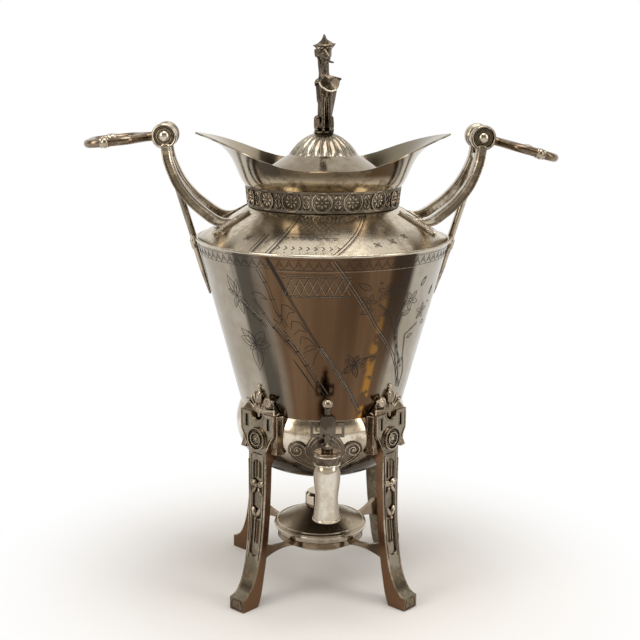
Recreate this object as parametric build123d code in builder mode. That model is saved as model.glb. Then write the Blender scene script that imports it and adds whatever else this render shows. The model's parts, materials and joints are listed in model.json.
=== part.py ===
from build123d import *
import os
from math import asin, cos, degrees, hypot, radians, sin, sqrt

# A silver-plated hot water urn on four cast legs, with a tap, a hinged lid, two hinged ring
# handles and a spirit lamp in a cradle between the legs.
# The origin is on the table, under the middle of the urn. The tap points along -Y.
# Every size is in millimetres.

os.makedirs("parts", exist_ok=True)

# Clearances
seat_gap = 0.3  # between two pieces that move apart
running_gap = 0.05  # radial, a pin or plug that turns in its hole

# Body: a cone of sheet metal that widens upward from a round bowl
sheet = 1.2
wall_foot = 153.0  # height of the lower edge of the wall
wall_height = 131.0
wall_foot_radius = 64.7
wall_top_radius = 99.0
bowl_swell = 3.8  # how far the bowl stands out past the wall's foot
bowl_shoulder = 16.0  # from the wall's foot down to the widest line of the bowl
bowl_corner = 38.5  # radius of the rounded lower corner
shoulder_rise = 25.5
edge_bead = 1.2  # wire along the edge between wall and shoulder

# Neck and flared collar
neck_radius = 58.0
neck_wall = 2.0
neck_height = 16.5
neck_flare = 1.75
neck_border = 1.2  # how far the two borders stand proud
neck_border_height = 2.4
collar_sheet = 1.5
collar_foot_in = 0.5  # collar's foot, measured in from the upper border
collar_front = 68.8  # half depth of the collar at the front
collar_tip = 98.6  # half length of the collar at its points
collar_rise = 39.0  # from the neck to the points
collar_bend_x = 52.6  # where the round front gives way to the pointed end
collar_bend_y = 46.7
collar_side_x = 75.0
collar_side_y = 29.5
collar_tuck = 1.5  # how far down the sheet is let into the neck
collar_low_out = 4.6  # three points of the flare, measured from its foot
collar_low_up = 8.0
collar_middle_out = 11.3
collar_middle_up = 22.0
collar_high_out = 19.8
collar_high_up = 31.0

# Lid
lid_inset = 3.0  # from the neck's outside in to the lid's edge
lid_rim = 2.0
lid_rim_width = 3.0
lid_sheet = 1.4  # measured upright
dome_radius = 26.3
lid_slope_rise = 17.5
dome_height = 17.0
dome_side_in = 3.3  # the dome's curve, measured in from its foot: half way up, and at the crown
dome_crown_in = 9.3
dome_inner_side_in = 5.3
dome_inner_lap = 0.5
seat_thickness = 3.2
seat_ledge = 5.0  # how far the ledge stands in from the neck's bore
seat_sleeve = 8.0
seat_sleeve_wall = 1.5
seat_edge_gap = 1.7  # from the collar in to the seat's edge
bezel_gap = 1.2
bezel_depth = 5.0
bezel_wall = 1.0

# Lid hinge, at the back
hinge_out = 2.5  # from the lid's edge to the pin
hinge_up = 1.5
hinge_knuckle = 2.8
hinge_pin_radius = 1.2
hinge_width = 24.0
hinge_block_front = 2.0
hinge_block_back = 0.8
lid_leaf_reach = 13.5
lid_leaf_thickness = 1.0

# Finial: a seated animal in a pointed hat
finial_height = 74.0
finial_base_radius = 8.2
finial_stud_radius = 2.0
finial_stud_end = 1.0  # how far the stud passes the nut, and stands up into the figure
finial_nut_height = 2.6
finial_nut_radius = 4.2
finial_sink = 1.5  # how deep its foot goes into the dome's crown
base_top = 2.0  # heights above the dome, and radii, up the back of the figure
rump_height = 10.0
rump_radius = 7.6
waist_height = 17.0
waist_radius = 6.2
chest_height = 30.0
cape_height = 38.0
cape_radius = 7.0
nape_height = 44.0
nape_radius = 4.6
neck_top_half = 4.4
head_radius = 6.8
head_tuck = 5.44  # from under the hat down to the middle of the head
hat_height = 11.0
hat_brim = 2.0
hat_reach = 10.0
hat_crown_reach = 6.2
hat_tip_reach = 0.8
haunch_radius = 5.2
haunch_out = 4.6
haunch_front = 1.5
haunch_height = 7.0
foreleg_radius = 2.0
foreleg_out = 3.2
foreleg_front = 5.2
foreleg_height = 11.0
foreleg_length = 18.0
shoulder_knob = 3.6
shoulder_knob_out = 6.4
shoulder_knob_back = 0.5
shoulder_knob_height = 36.0
muzzle_radius = 3.4
muzzle_out = 3.5
muzzle_front = 5.5
muzzle_drop = 1.5
wing_root = 5.0
wing_root_top = 40.0
wing_root_foot = 29.0
wing_tip_out = 14.2
wing_tip_top = 37.5
wing_tip_in = 13.2
wing_tip_foot = 34.5
wing_half_thickness = 2.2

# Ring handles and their brackets
pivot_out = 22.8  # from the shoulder's edge out to the pivots
pivot_up = 79.0  # from the shoulder's edge up to the pivots
eye_radius = 9.5
eye_width = 8.3
knuckle_half = 9.6  # half the width of the ring's knuckle
knuckle_radius = 6.5
pin_radius = 2.5
pin_head = 3.7
pin_head_height = 2.0
pin_head_round = 1.4
pin_recess = 1.2
pin_recess_radius = 5.2
arm_thickness = 5.2
prong_width = 8.5
prong_foot_y = 26.3  # middle of each prong where it lands on the shoulder
prong_foot_in = 18.0  # from the shoulder's edge in to where the prong bends onto it
prong_end_in = 1.0  # from the neck in to the prong's end
foot_ridge = 6.0
foot_lap = 1.0
arm_top_in = 1.0  # the arm's curve, measured in and down from the pivot
arm_top_down = 7.0
arm_upper_in = 3.4
arm_upper_down = 19.5
arm_middle_in = 10.5
arm_middle_down = 35.5
arm_lower_in = 20.8
arm_lower_down = 47.0
arm_foot_in = 32.0
arm_foot_down = 54.5
bridge_height = 6.0
bridge_depth = 5.5
bridge_in = 2.0  # from the pivot in to the middle of the bridge
bridge_drop = 12.0  # from the pivot down to the top of the bridge
strut_thickness = 5.0
strut_edge_thickness = 5.5
strut_width = 9.0
strut_length = 45.7  # from the shoulder's edge down the wall
strut_proud = 3.4  # how far the strut stands out from the wall
ring_bar = 3.25  # radius of the ring's bar
ring_length = 61.0
ring_half_width = 25.0
ring_grip_half = 22.0
ring_neck_half = 5.6
ring_neck_start = 4.0  # from the pivot out to the ends of the bar, inside the knuckle
ring_neck_length = 14.0
ring_shoulder = 27.0
ring_bend = 10.0
ring_neck_bend = 8.0
left_droop = 6.0  # degrees below level, at rest
right_droop = 15.0

# Legs, at the four diagonals
leg_azimuths = {"front_left": 225, "front_right": 315, "back_right": 45, "back_left": 135}
head_proud = 4.5  # from the widest line of the bowl to the face of the leg's head
head_above = 3.0  # the head's top above the wall's foot
head_half_width = 18.0
head_depth = 14.0
ear_height = 16.0
corbel_height = 14.0
head_height = 34.0
head_notch = 6.0
head_slot_place = 11.5
head_slot_width = 2.2
head_slot_height = 10.0
head_slot_depth = 1.6
corbel_edge_in = 1.0
corbel_curve_out = 2.6  # the corbel's hollow, out from the shaft and down from the ear
corbel_curve_down = 4.9
shaft_top = 115.0
shaft_half_width = 9.25
shaft_thickness = 6.5
shin_pull = 55.2  # two heights that the side view's curves are drawn towards, front and back
calf_pull = 59.8
instep_out = 5.1  # where the front curve turns outward into the toe
instep_height = 12.0
arch_in = 2.0  # where the back curve turns in from the sole
arch_height = 18.0
ankle_height = 22.0
ankle_half_width = 7.0
toe_half_width = 7.5
toe_height = 10.0
toe_reach = 23.0  # from the head's face out to the end of the toe
sole_length = 16.0
flute_half_width = 4.6
flute_depth = 1.3
flute_top = 118.0
flute_foot = 40.0

# Ornament on the legs
rosette_radius = 9.3
rosette_drop = 21.0  # from the head's top down to the middle of the rosette
rosette_step = 1.4
rosette_ring_outer = 8.0
rosette_ring_inner = 6.1
rosette_boss = 3.35
spray_proud = 0.4
spray_thickness = 13.0
spray_height = 20.0
middle_flower_up = 12.4
middle_flower_radius = 5.75
flower_radius = 5.0
side_flower_out = 14.6
side_flower_up = 9.0
bud_radius = 2.4
bud_half = 1.7

# Cradle and spirit lamp
cradle_inner = 31.0
cradle_outer = 35.0
cradle_top = 41.0
cradle_height = 4.5
cradle_arm_half = 2.0
cradle_arm_top = 52.0
cradle_arm_foot = 32.0
cradle_arm_rise = 1.5  # how far the middle of its top and foot stands above the ring's
cradle_arm_foot_rise = 1.0
lamp_rim_radius = 37.5
lamp_rim_height = 47.3
lamp_rim_thickness = 2.0
lamp_wall = 1.1
lamp_well_depth = 11.0  # from the cradle's top down to the lamp's floor
lamp_floor_radius = 18.0
lamp_well_round = 3.6  # the rounded corner of the well
lamp_well_round_up = 2.2
lamp_cone_edge = 1.0
lamp_cone_height = 14.2
burner_hole = 10.0
burner_flange = 12.3
burner_flange_thickness = 1.8
burner_collar_depth = 2.0
wick_tube_radius = 5.0
wick_tube_wall = 1.4
wick_tube_up = 4.7
wick_tube_length = 17.0
wick_gap = 0.2
wick_up = 2.5
cap_radius = 12.5
cap_wall = 1.0
cap_height = 9.4
cap_edge = 2.2

# Tap
tap_reach = 95.0
pipe_height = 120.0
pipe_radius = 7.0
pipe_bore = 4.5
spout_drop = 34.0  # from the pipe down to the spout's end
spout_bore = 4.6
spout_lip = 10.6
spout_lip_height = 1.0
spout_edge = 9.9
spout_edge_up = 1.5
spout_low_up = 9.0  # the barrel's turned outline, up from the spout's end
spout_low_radius = 8.9
spout_waist_up = 17.0
spout_waist_radius = 8.4
barrel_swell_down = 4.0  # and the rest of it, measured from the pipe
barrel_swell_radius = 9.8
barrel_neck_up = 8.6
barrel_neck_radius = 8.6
barrel_lip_foot = 9.0
barrel_lip_top = 10.0
barrel_lip_radius = 9.6
barrel_band_foot = 10.4
barrel_band_radius = 8.9
barrel_top_radius = 9.1
barrel_rise = 16.0  # from the pipe up to the barrel's top
plug_radius = 5.95
plug_drop = 8.7  # from the pipe down to the plug's foot
plug_hollow = 3.6
plug_hollow_over = 0.5  # how far the hollow goes past the port
plug_port = 3.2
gland_height = 3.0
gland_radius = 10.0
gland_bore = 4.25
key_bead = 4.6
key_bead_low = 2.3
key_bead_high = 4.1
key_bead_height = 6.4
key_stem = 2.2
key_stem_length = 7.5  # from the bead up to the block
key_block_half = 5.85
key_block_depth = 4.2
key_block_height = 13.1
key_block_bevel = 2.2
key_neck_length = 6.5
key_ball = 3.8
key_ball_sink = 2.3
fret_half_width = 12.5
fret_gap_half = 3.5
fret_height = 11.0
fret_drop = 3.5
fret_bar = 2.0
fret_thickness = 2.2
plate_thickness = 1.8
plate_solder = 0.1
plate_volute_out = 21.5
plate_volute_radius = 7.0
plate_arch_radius = 15.0
plate_rise = 10.0  # from the pipe up to the middle of the volutes
plate_drop = 8.0  # from the pipe down to the plate's foot
plate_foot_half = 6.5
plate_volute_edge = 4.2  # where the straight outline leaves a volute, above its middle and outside it
plate_volute_under = 5.6

# Places that follow from the sizes above
wall_top = wall_foot + wall_height
belly_radius = wall_foot_radius + bowl_swell
belly_height = wall_foot - bowl_shoulder
bowl_floor_radius = belly_radius - bowl_corner
bowl_floor = belly_height - bowl_corner
swell_arc = (bowl_shoulder**2 + bowl_swell**2) / (2 * bowl_swell)
swell_centre = belly_radius - swell_arc
shoulder_run = wall_top_radius - neck_radius
shoulder_drop = sheet * hypot(shoulder_rise, shoulder_run) / shoulder_run
neck_foot = wall_top + shoulder_rise
neck_top = neck_foot + neck_height
neck_top_radius = neck_radius + neck_flare
neck_bore = neck_radius - neck_wall
collar_foot_radius = neck_top_radius + neck_border - collar_foot_in
seat_opening = neck_bore - seat_ledge
lid_radius = neck_radius - lid_inset
seat_top = neck_top + seat_thickness
lid_foot = seat_top + seat_gap
dome_foot = lid_foot + lid_rim + lid_slope_rise
dome_top = dome_foot + dome_height
lid_slope_run = lid_radius - dome_radius
hinge_y = lid_radius + hinge_out
hinge_z = lid_foot + lid_rim + hinge_up
eye_inner = knuckle_half + seat_gap
eye_outer = eye_inner + eye_width
head_face = belly_radius + head_proud
head_top = wall_foot + head_above
lamp_cone_foot = lamp_rim_height + lamp_cone_edge
lamp_cone_top = lamp_cone_foot + lamp_cone_height
burner_top = lamp_cone_top + burner_flange_thickness
spout_end = pipe_height - spout_drop
plug_foot = pipe_height - plug_drop
barrel_top = pipe_height + barrel_rise
plate_height = pipe_height + plate_rise
plate_foot = pipe_height - plate_drop
gland_top = barrel_top + gland_height
pivot_x = wall_top_radius + pivot_out
pivot_z = wall_top + pivot_up
rosette_height = head_top - rosette_drop


def save(piece, name):
    """Label one finished piece and write it."""
    piece.part.label = name
    export_step(piece.part, f"parts/{name}.step")


def radial(azimuth):
    """An upright plane through the urn's axis: local x points outward, local y up."""
    turn = radians(azimuth)
    return Plane(origin=(0, 0, 0), x_dir=(cos(turn), sin(turn), 0), z_dir=(sin(turn), -cos(turn), 0))


def facing(azimuth, distance=0):
    """An upright plane that faces outward: local x runs sideways, local y up."""
    turn = radians(azimuth)
    out = Vector(cos(turn), sin(turn), 0)
    return Plane(origin=out * distance, x_dir=(-sin(turn), cos(turn), 0), z_dir=out)


def bowl_line(inset):
    """Draw the bowl's profile at a distance inside its outer face, from the rim to the middle."""
    corner = bowl_corner - inset
    rim_turn = degrees(asin(bowl_shoulder / (swell_arc - inset)))
    CenterArc((swell_centre, belly_height), swell_arc - inset, 0, rim_turn)
    CenterArc((bowl_floor_radius, belly_height), corner, 270, 90)
    Line((bowl_floor_radius, belly_height - corner), (0, belly_height - corner))


def bowl_rim(inset):
    """The point where that profile meets the wall's foot."""
    return (swell_centre + sqrt((swell_arc - inset) ** 2 - bowl_shoulder**2), wall_foot)


# The outer form of the whole body as one block, used only to cut what is soldered to it
bead_run = edge_bead * shoulder_run / hypot(shoulder_run, shoulder_rise)
bead_rise = edge_bead * shoulder_rise / hypot(shoulder_run, shoulder_rise)
wall_slope = (wall_top_radius - wall_foot_radius) / wall_height
bead_low = (wall_top_radius - edge_bead * wall_slope, wall_top - edge_bead)
bead_high = (wall_top_radius - bead_run, wall_top + bead_rise)
bead_crest = (wall_top_radius + edge_bead, wall_top)

with BuildPart() as body_core:
    with BuildSketch(Plane.XZ):
        with BuildLine():
            bowl_line(0)
            Polyline(
                bowl_rim(0),
                bead_low,
                (bead_crest[0], bead_low[1]),
                (bead_crest[0], bead_high[1]),
                bead_high,
                (neck_radius, neck_foot),
                (0, neck_foot),
                (0, bowl_floor),
            )
        make_face()
    revolve(axis=Axis.Z)

# Body wall, a plain cone
with BuildPart() as body_wall:
    with BuildSketch(Plane.XZ):
        with BuildLine():
            Polyline(
                (wall_foot_radius, wall_foot),
                (wall_top_radius, wall_top),
                (wall_top_radius - sheet, wall_top),
                (wall_foot_radius - sheet, wall_foot),
                close=True,
            )
        make_face()
    revolve(axis=Axis.Z)
save(body_wall, "body_wall")

# Bowl, with the hole that feeds the tap
with BuildPart() as bowl:
    with BuildSketch(Plane.XZ):
        with BuildLine():
            bowl_line(0)
            Line(bowl_rim(0), bowl_rim(sheet))
            bowl_line(sheet)
            Line((0, bowl_floor), (0, bowl_floor + sheet))
        make_face()
    revolve(axis=Axis.Z)
    with BuildSketch(facing(270)):
        with Locations((0, pipe_height)):
            Circle(pipe_bore)
    extrude(amount=belly_radius * 2, mode=Mode.SUBTRACT)
save(bowl, "bowl")

# Shoulder, a low cone that closes the wall in to the neck
with BuildPart() as shoulder:
    with BuildSketch(Plane.XZ):
        with BuildLine():
            Polyline(
                (wall_top_radius, wall_top),
                (neck_radius, neck_foot),
                (neck_bore, neck_foot),
                (neck_bore, neck_foot - shoulder_drop),
                (neck_radius, neck_foot - shoulder_drop),
                (wall_top_radius - shoulder_drop * shoulder_run / shoulder_rise, wall_top),
                close=True,
            )
        make_face()
    revolve(axis=Axis.Z)
save(shoulder, "shoulder")

# Wire soldered along the edge between wall and shoulder
with BuildPart() as edge_wire:
    with BuildSketch(Plane.XZ):
        with BuildLine():
            Polyline(bead_low, (wall_top_radius, wall_top), bead_high)
            ThreePointArc(bead_high, bead_crest, bead_low)
        make_face()
    revolve(axis=Axis.Z)
save(edge_wire, "shoulder_wire")

# Neck band between two raised borders
with BuildPart() as neck_band:
    with BuildSketch(Plane.XZ):
        with BuildLine():
            Polyline(
                (neck_bore, neck_foot),
                (neck_radius + neck_border, neck_foot),
                (neck_radius + neck_border, neck_foot + neck_border_height),
                (neck_radius, neck_foot + neck_border_height + neck_border / 2),
                (neck_top_radius, neck_top - neck_border_height - neck_border / 2),
                (neck_top_radius + neck_border, neck_top - neck_border_height),
                (neck_top_radius + neck_border, neck_top),
                (neck_bore, neck_top),
                close=True,
            )
        make_face()
    revolve(axis=Axis.Z)
save(neck_band, "neck_band")

# Flared collar: a turned funnel, cut in plan to a lemon shape whose points lie over the handles
with BuildPart() as collar:
    with BuildSketch(Plane.XZ):
        with BuildLine():
            Spline(
                (collar_foot_radius - collar_sheet, neck_top - collar_tuck),
                (collar_foot_radius + collar_low_out, neck_top + collar_low_up),
                (collar_foot_radius + collar_middle_out, neck_top + collar_middle_up),
                (collar_foot_radius + collar_high_out, neck_top + collar_high_up),
                (collar_tip + collar_sheet, neck_top + collar_rise),
            )
        trace(line_width=collar_sheet)
    revolve(axis=Axis.Z)
    with BuildSketch(Plane.XY.offset(neck_top)):
        with BuildLine():
            ThreePointArc(
                (collar_bend_x, collar_bend_y), (0, collar_front), (-collar_bend_x, collar_bend_y)
            )
            ThreePointArc(
                (collar_tip, 0), (collar_side_x, collar_side_y), (collar_bend_x, collar_bend_y)
            )
            ThreePointArc(
                (-collar_tip, 0), (-collar_side_x, collar_side_y), (-collar_bend_x, collar_bend_y)
            )
            Line((-collar_tip, 0), (collar_tip, 0))
        make_face()
        mirror(about=Plane.XZ)
    extrude(amount=collar_rise * 2, mode=Mode.INTERSECT)
save(collar, "collar")

# Ledge that the lid rests on: a flange over the neck, with a sleeve inside it
seat_edge = collar_foot_radius - collar_sheet - seat_edge_gap
with BuildPart() as lid_seat:
    with BuildSketch(Plane.XZ):
        with BuildLine():
            Polyline(
                (seat_opening, seat_top),
                (seat_edge, seat_top),
                (seat_edge, neck_top),
                (neck_bore, neck_top),
                (neck_bore, neck_top - seat_sleeve),
                (neck_bore - seat_sleeve_wall, neck_top - seat_sleeve),
                (neck_bore - seat_sleeve_wall, neck_top),
                (seat_opening, neck_top),
                close=True,
            )
        make_face()
    revolve(axis=Axis.Z)
save(lid_seat, "lid_seat")

# Lid flange, a polished cone with a thick rim
lid_under_drop = (lid_slope_run - lid_rim_width) * lid_slope_rise / lid_slope_run
with BuildPart() as lid_flange:
    with BuildSketch(Plane.XZ):
        with BuildLine():
            Polyline(
                (lid_radius, lid_foot),
                (lid_radius, lid_foot + lid_rim),
                (dome_radius, dome_foot),
                (dome_radius - lid_rim_width, dome_foot),
                (dome_radius - lid_rim_width, dome_foot - lid_sheet),
                (dome_radius, dome_foot - lid_sheet),
                (lid_radius - lid_rim_width, dome_foot - lid_sheet - lid_under_drop),
                (lid_radius - lid_rim_width, lid_foot),
                close=True,
            )
        make_face()
    revolve(axis=Axis.Z)
save(lid_flange, "lid_flange")

# Lid dome, raised sheet over the flange's hole
dome_inner_radius = dome_radius - lid_rim_width + dome_inner_lap
with BuildPart() as lid_dome:
    with BuildSketch(Plane.XZ):
        with BuildLine():
            Bezier(
                (dome_radius, dome_foot),
                (dome_radius - dome_side_in, dome_foot + dome_height / 2),
                (dome_radius - dome_crown_in, dome_top),
                (finial_stud_radius, dome_top),
            )
            Line((finial_stud_radius, dome_top), (finial_stud_radius, dome_top - sheet))
            Bezier(
                (finial_stud_radius, dome_top - sheet),
                (dome_radius - dome_crown_in - sheet, dome_top - sheet),
                (dome_radius - dome_inner_side_in, dome_foot + dome_height / 2 - sheet),
                (dome_inner_radius, dome_foot),
            )
            Line((dome_inner_radius, dome_foot), (dome_radius, dome_foot))
        make_face()
    revolve(axis=Axis.Z)
save(lid_dome, "lid_dome")

# Bezel under the lid, a short sleeve that centres it in the ledge
bezel_radius = seat_opening - bezel_gap
bezel_top = dome_foot - lid_sheet - (bezel_radius - dome_radius) * lid_slope_rise / lid_slope_run
with BuildPart() as lid_bezel:
    with BuildSketch(Plane.XZ):
        with BuildLine():
            Polyline(
                (bezel_radius, bezel_top),
                (bezel_radius, lid_foot - bezel_depth),
                (bezel_radius - bezel_wall, lid_foot - bezel_depth),
                (bezel_radius - bezel_wall, bezel_top + bezel_wall * lid_slope_rise / lid_slope_run),
                close=True,
            )
        make_face()
    revolve(axis=Axis.Z)
save(lid_bezel, "lid_bezel")

# Lid leaf: the middle knuckle of the hinge, on a strap soldered over the flange
leaf_half = hinge_width / 6 - seat_gap / 2
with BuildPart() as lid_leaf:
    with BuildSketch(Plane.YZ):
        with Locations((hinge_y, hinge_z)):
            Circle(hinge_knuckle)
        leaf_front = lid_radius - lid_leaf_reach
        leaf_front_z = dome_foot - (leaf_front - dome_radius) * lid_slope_rise / lid_slope_run
        with BuildLine():
            Polyline(
                (hinge_y, hinge_z + hinge_knuckle),
                (leaf_front, leaf_front_z + lid_leaf_thickness),
                (leaf_front, leaf_front_z - lid_leaf_thickness),
                (lid_radius - lid_rim, lid_foot + lid_rim / 2),
                (hinge_y, hinge_z - hinge_knuckle / 2),
                close=True,
            )
        make_face()
    extrude(amount=leaf_half, both=True)
    add(lid_flange.part, mode=Mode.SUBTRACT)
    with BuildSketch(Plane.YZ):
        with Locations((hinge_y, hinge_z)):
            Circle(hinge_pin_radius + running_gap)
    extrude(amount=hinge_width, both=True, mode=Mode.SUBTRACT)
    largest = lid_leaf.part.solids().sort_by(SortBy.VOLUME)[-1]
    add(largest, mode=Mode.REPLACE)
save(lid_leaf, "lid_leaf")

# Seat leaf: the two outer knuckles on their blocks, standing on the ledge
with BuildPart() as seat_leaf:
    for side in (1, -1):
        with BuildSketch(Plane.YZ.offset(side * hinge_width / 2)):
            with Locations((hinge_y, hinge_z)):
                Circle(hinge_knuckle)
            with BuildLine():
                Polyline(
                    (hinge_y - hinge_block_front, seat_top),
                    (hinge_y + hinge_block_back, seat_top),
                    (hinge_y + hinge_block_back, hinge_z),
                    (hinge_y - hinge_block_front, hinge_z),
                    close=True,
                )
            make_face()
            with Locations((hinge_y, hinge_z)):
                Circle(hinge_pin_radius, mode=Mode.SUBTRACT)
        extrude(amount=-side * (hinge_width / 3 - seat_gap / 2))
save(seat_leaf, "seat_leaf")

# Hinge pin, pressed in the outer knuckles
with BuildPart() as hinge_pin:
    with BuildSketch(Plane.YZ):
        with Locations((hinge_y, hinge_z)):
            Circle(hinge_pin_radius)
    extrude(amount=hinge_width / 2, both=True)
save(hinge_pin, "hinge_pin")

# Finial: haunches, body, neck, head and a three-cornered pointed hat, with a stud below
finial_top = dome_top + finial_height
hat_foot = finial_top - hat_height
head_middle = hat_foot - head_tuck
finial_foot = dome_top - finial_sink
stud_foot = dome_top - sheet - finial_nut_height - finial_stud_end
with BuildPart() as finial:
    with BuildSketch(Plane.XZ):
        with BuildLine():
            Polyline(
                (0, finial_foot), (finial_base_radius, finial_foot), (finial_base_radius, dome_top + base_top)
            )
            Spline(
                (finial_base_radius, dome_top + base_top),
                (rump_radius, dome_top + rump_height),
                (waist_radius, dome_top + waist_height),
                (waist_radius, dome_top + chest_height),
                (cape_radius, dome_top + cape_height),
                (nape_radius, dome_top + nape_height),
                (neck_top_half, head_middle),
            )
            Polyline((neck_top_half, head_middle), (0, head_middle), (0, finial_foot))
        make_face()
    revolve(axis=Axis.Z)
    with Locations((0, 0, head_middle)):
        Sphere(head_radius)
    with BuildSketch(Plane.XY.offset(hat_foot)):
        RegularPolygon(radius=hat_reach, side_count=3, rotation=90)
    with BuildSketch(Plane.XY.offset(hat_foot + hat_brim)):
        RegularPolygon(radius=hat_crown_reach, side_count=3, rotation=90)
    with BuildSketch(Plane.XY.offset(finial_top)):
        RegularPolygon(radius=hat_tip_reach, side_count=3, rotation=90)
    loft(ruled=True)
    for side in (1, -1):
        with Locations((side * haunch_out, -haunch_front, dome_top + haunch_height)):
            Sphere(haunch_radius)
        with Locations((side * foreleg_out, -foreleg_front, dome_top + foreleg_height)):
            Cylinder(radius=foreleg_radius, height=foreleg_length)
        with Locations((side * shoulder_knob_out, shoulder_knob_back, dome_top + shoulder_knob_height)):
            Sphere(shoulder_knob)
    with Locations((muzzle_out, -muzzle_front, head_middle - muzzle_drop)):
        Sphere(muzzle_radius)
    with BuildSketch(Plane.XZ):
        with BuildLine():
            Polyline(
                (wing_root, dome_top + wing_root_top),
                (wing_tip_out, dome_top + wing_tip_top),
                (wing_tip_in, dome_top + wing_tip_foot),
                (wing_root, dome_top + wing_root_foot),
                close=True,
            )
        make_face()
    extrude(amount=wing_half_thickness, both=True)
    add(lid_dome.part, mode=Mode.SUBTRACT)
    with BuildSketch(Plane.XY.offset(stud_foot)):
        Circle(finial_stud_radius)
    extrude(amount=dome_top - stud_foot + finial_stud_end)
save(finial, "finial")

# Nut on the stud, inside the lid
with BuildPart() as finial_nut:
    with BuildSketch(Plane.XY.offset(dome_top - sheet - seat_gap)):
        RegularPolygon(radius=finial_nut_radius, side_count=6)
        Circle(finial_stud_radius, mode=Mode.SUBTRACT)
    extrude(amount=-finial_nut_height)
save(finial_nut, "finial_nut")

# Handle brackets, one pair for each side: a two-pronged arm down to the shoulder, and a strut
# that runs down the wall
bridge_top = pivot_z - bridge_drop
bridge_foot = bridge_top - bridge_height
shoulder_slope = shoulder_rise / shoulder_run


def shoulder_at(x, y):
    """Height of the shoulder's surface above a point."""
    return neck_foot - (hypot(x, y) - neck_radius) * shoulder_slope


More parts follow.
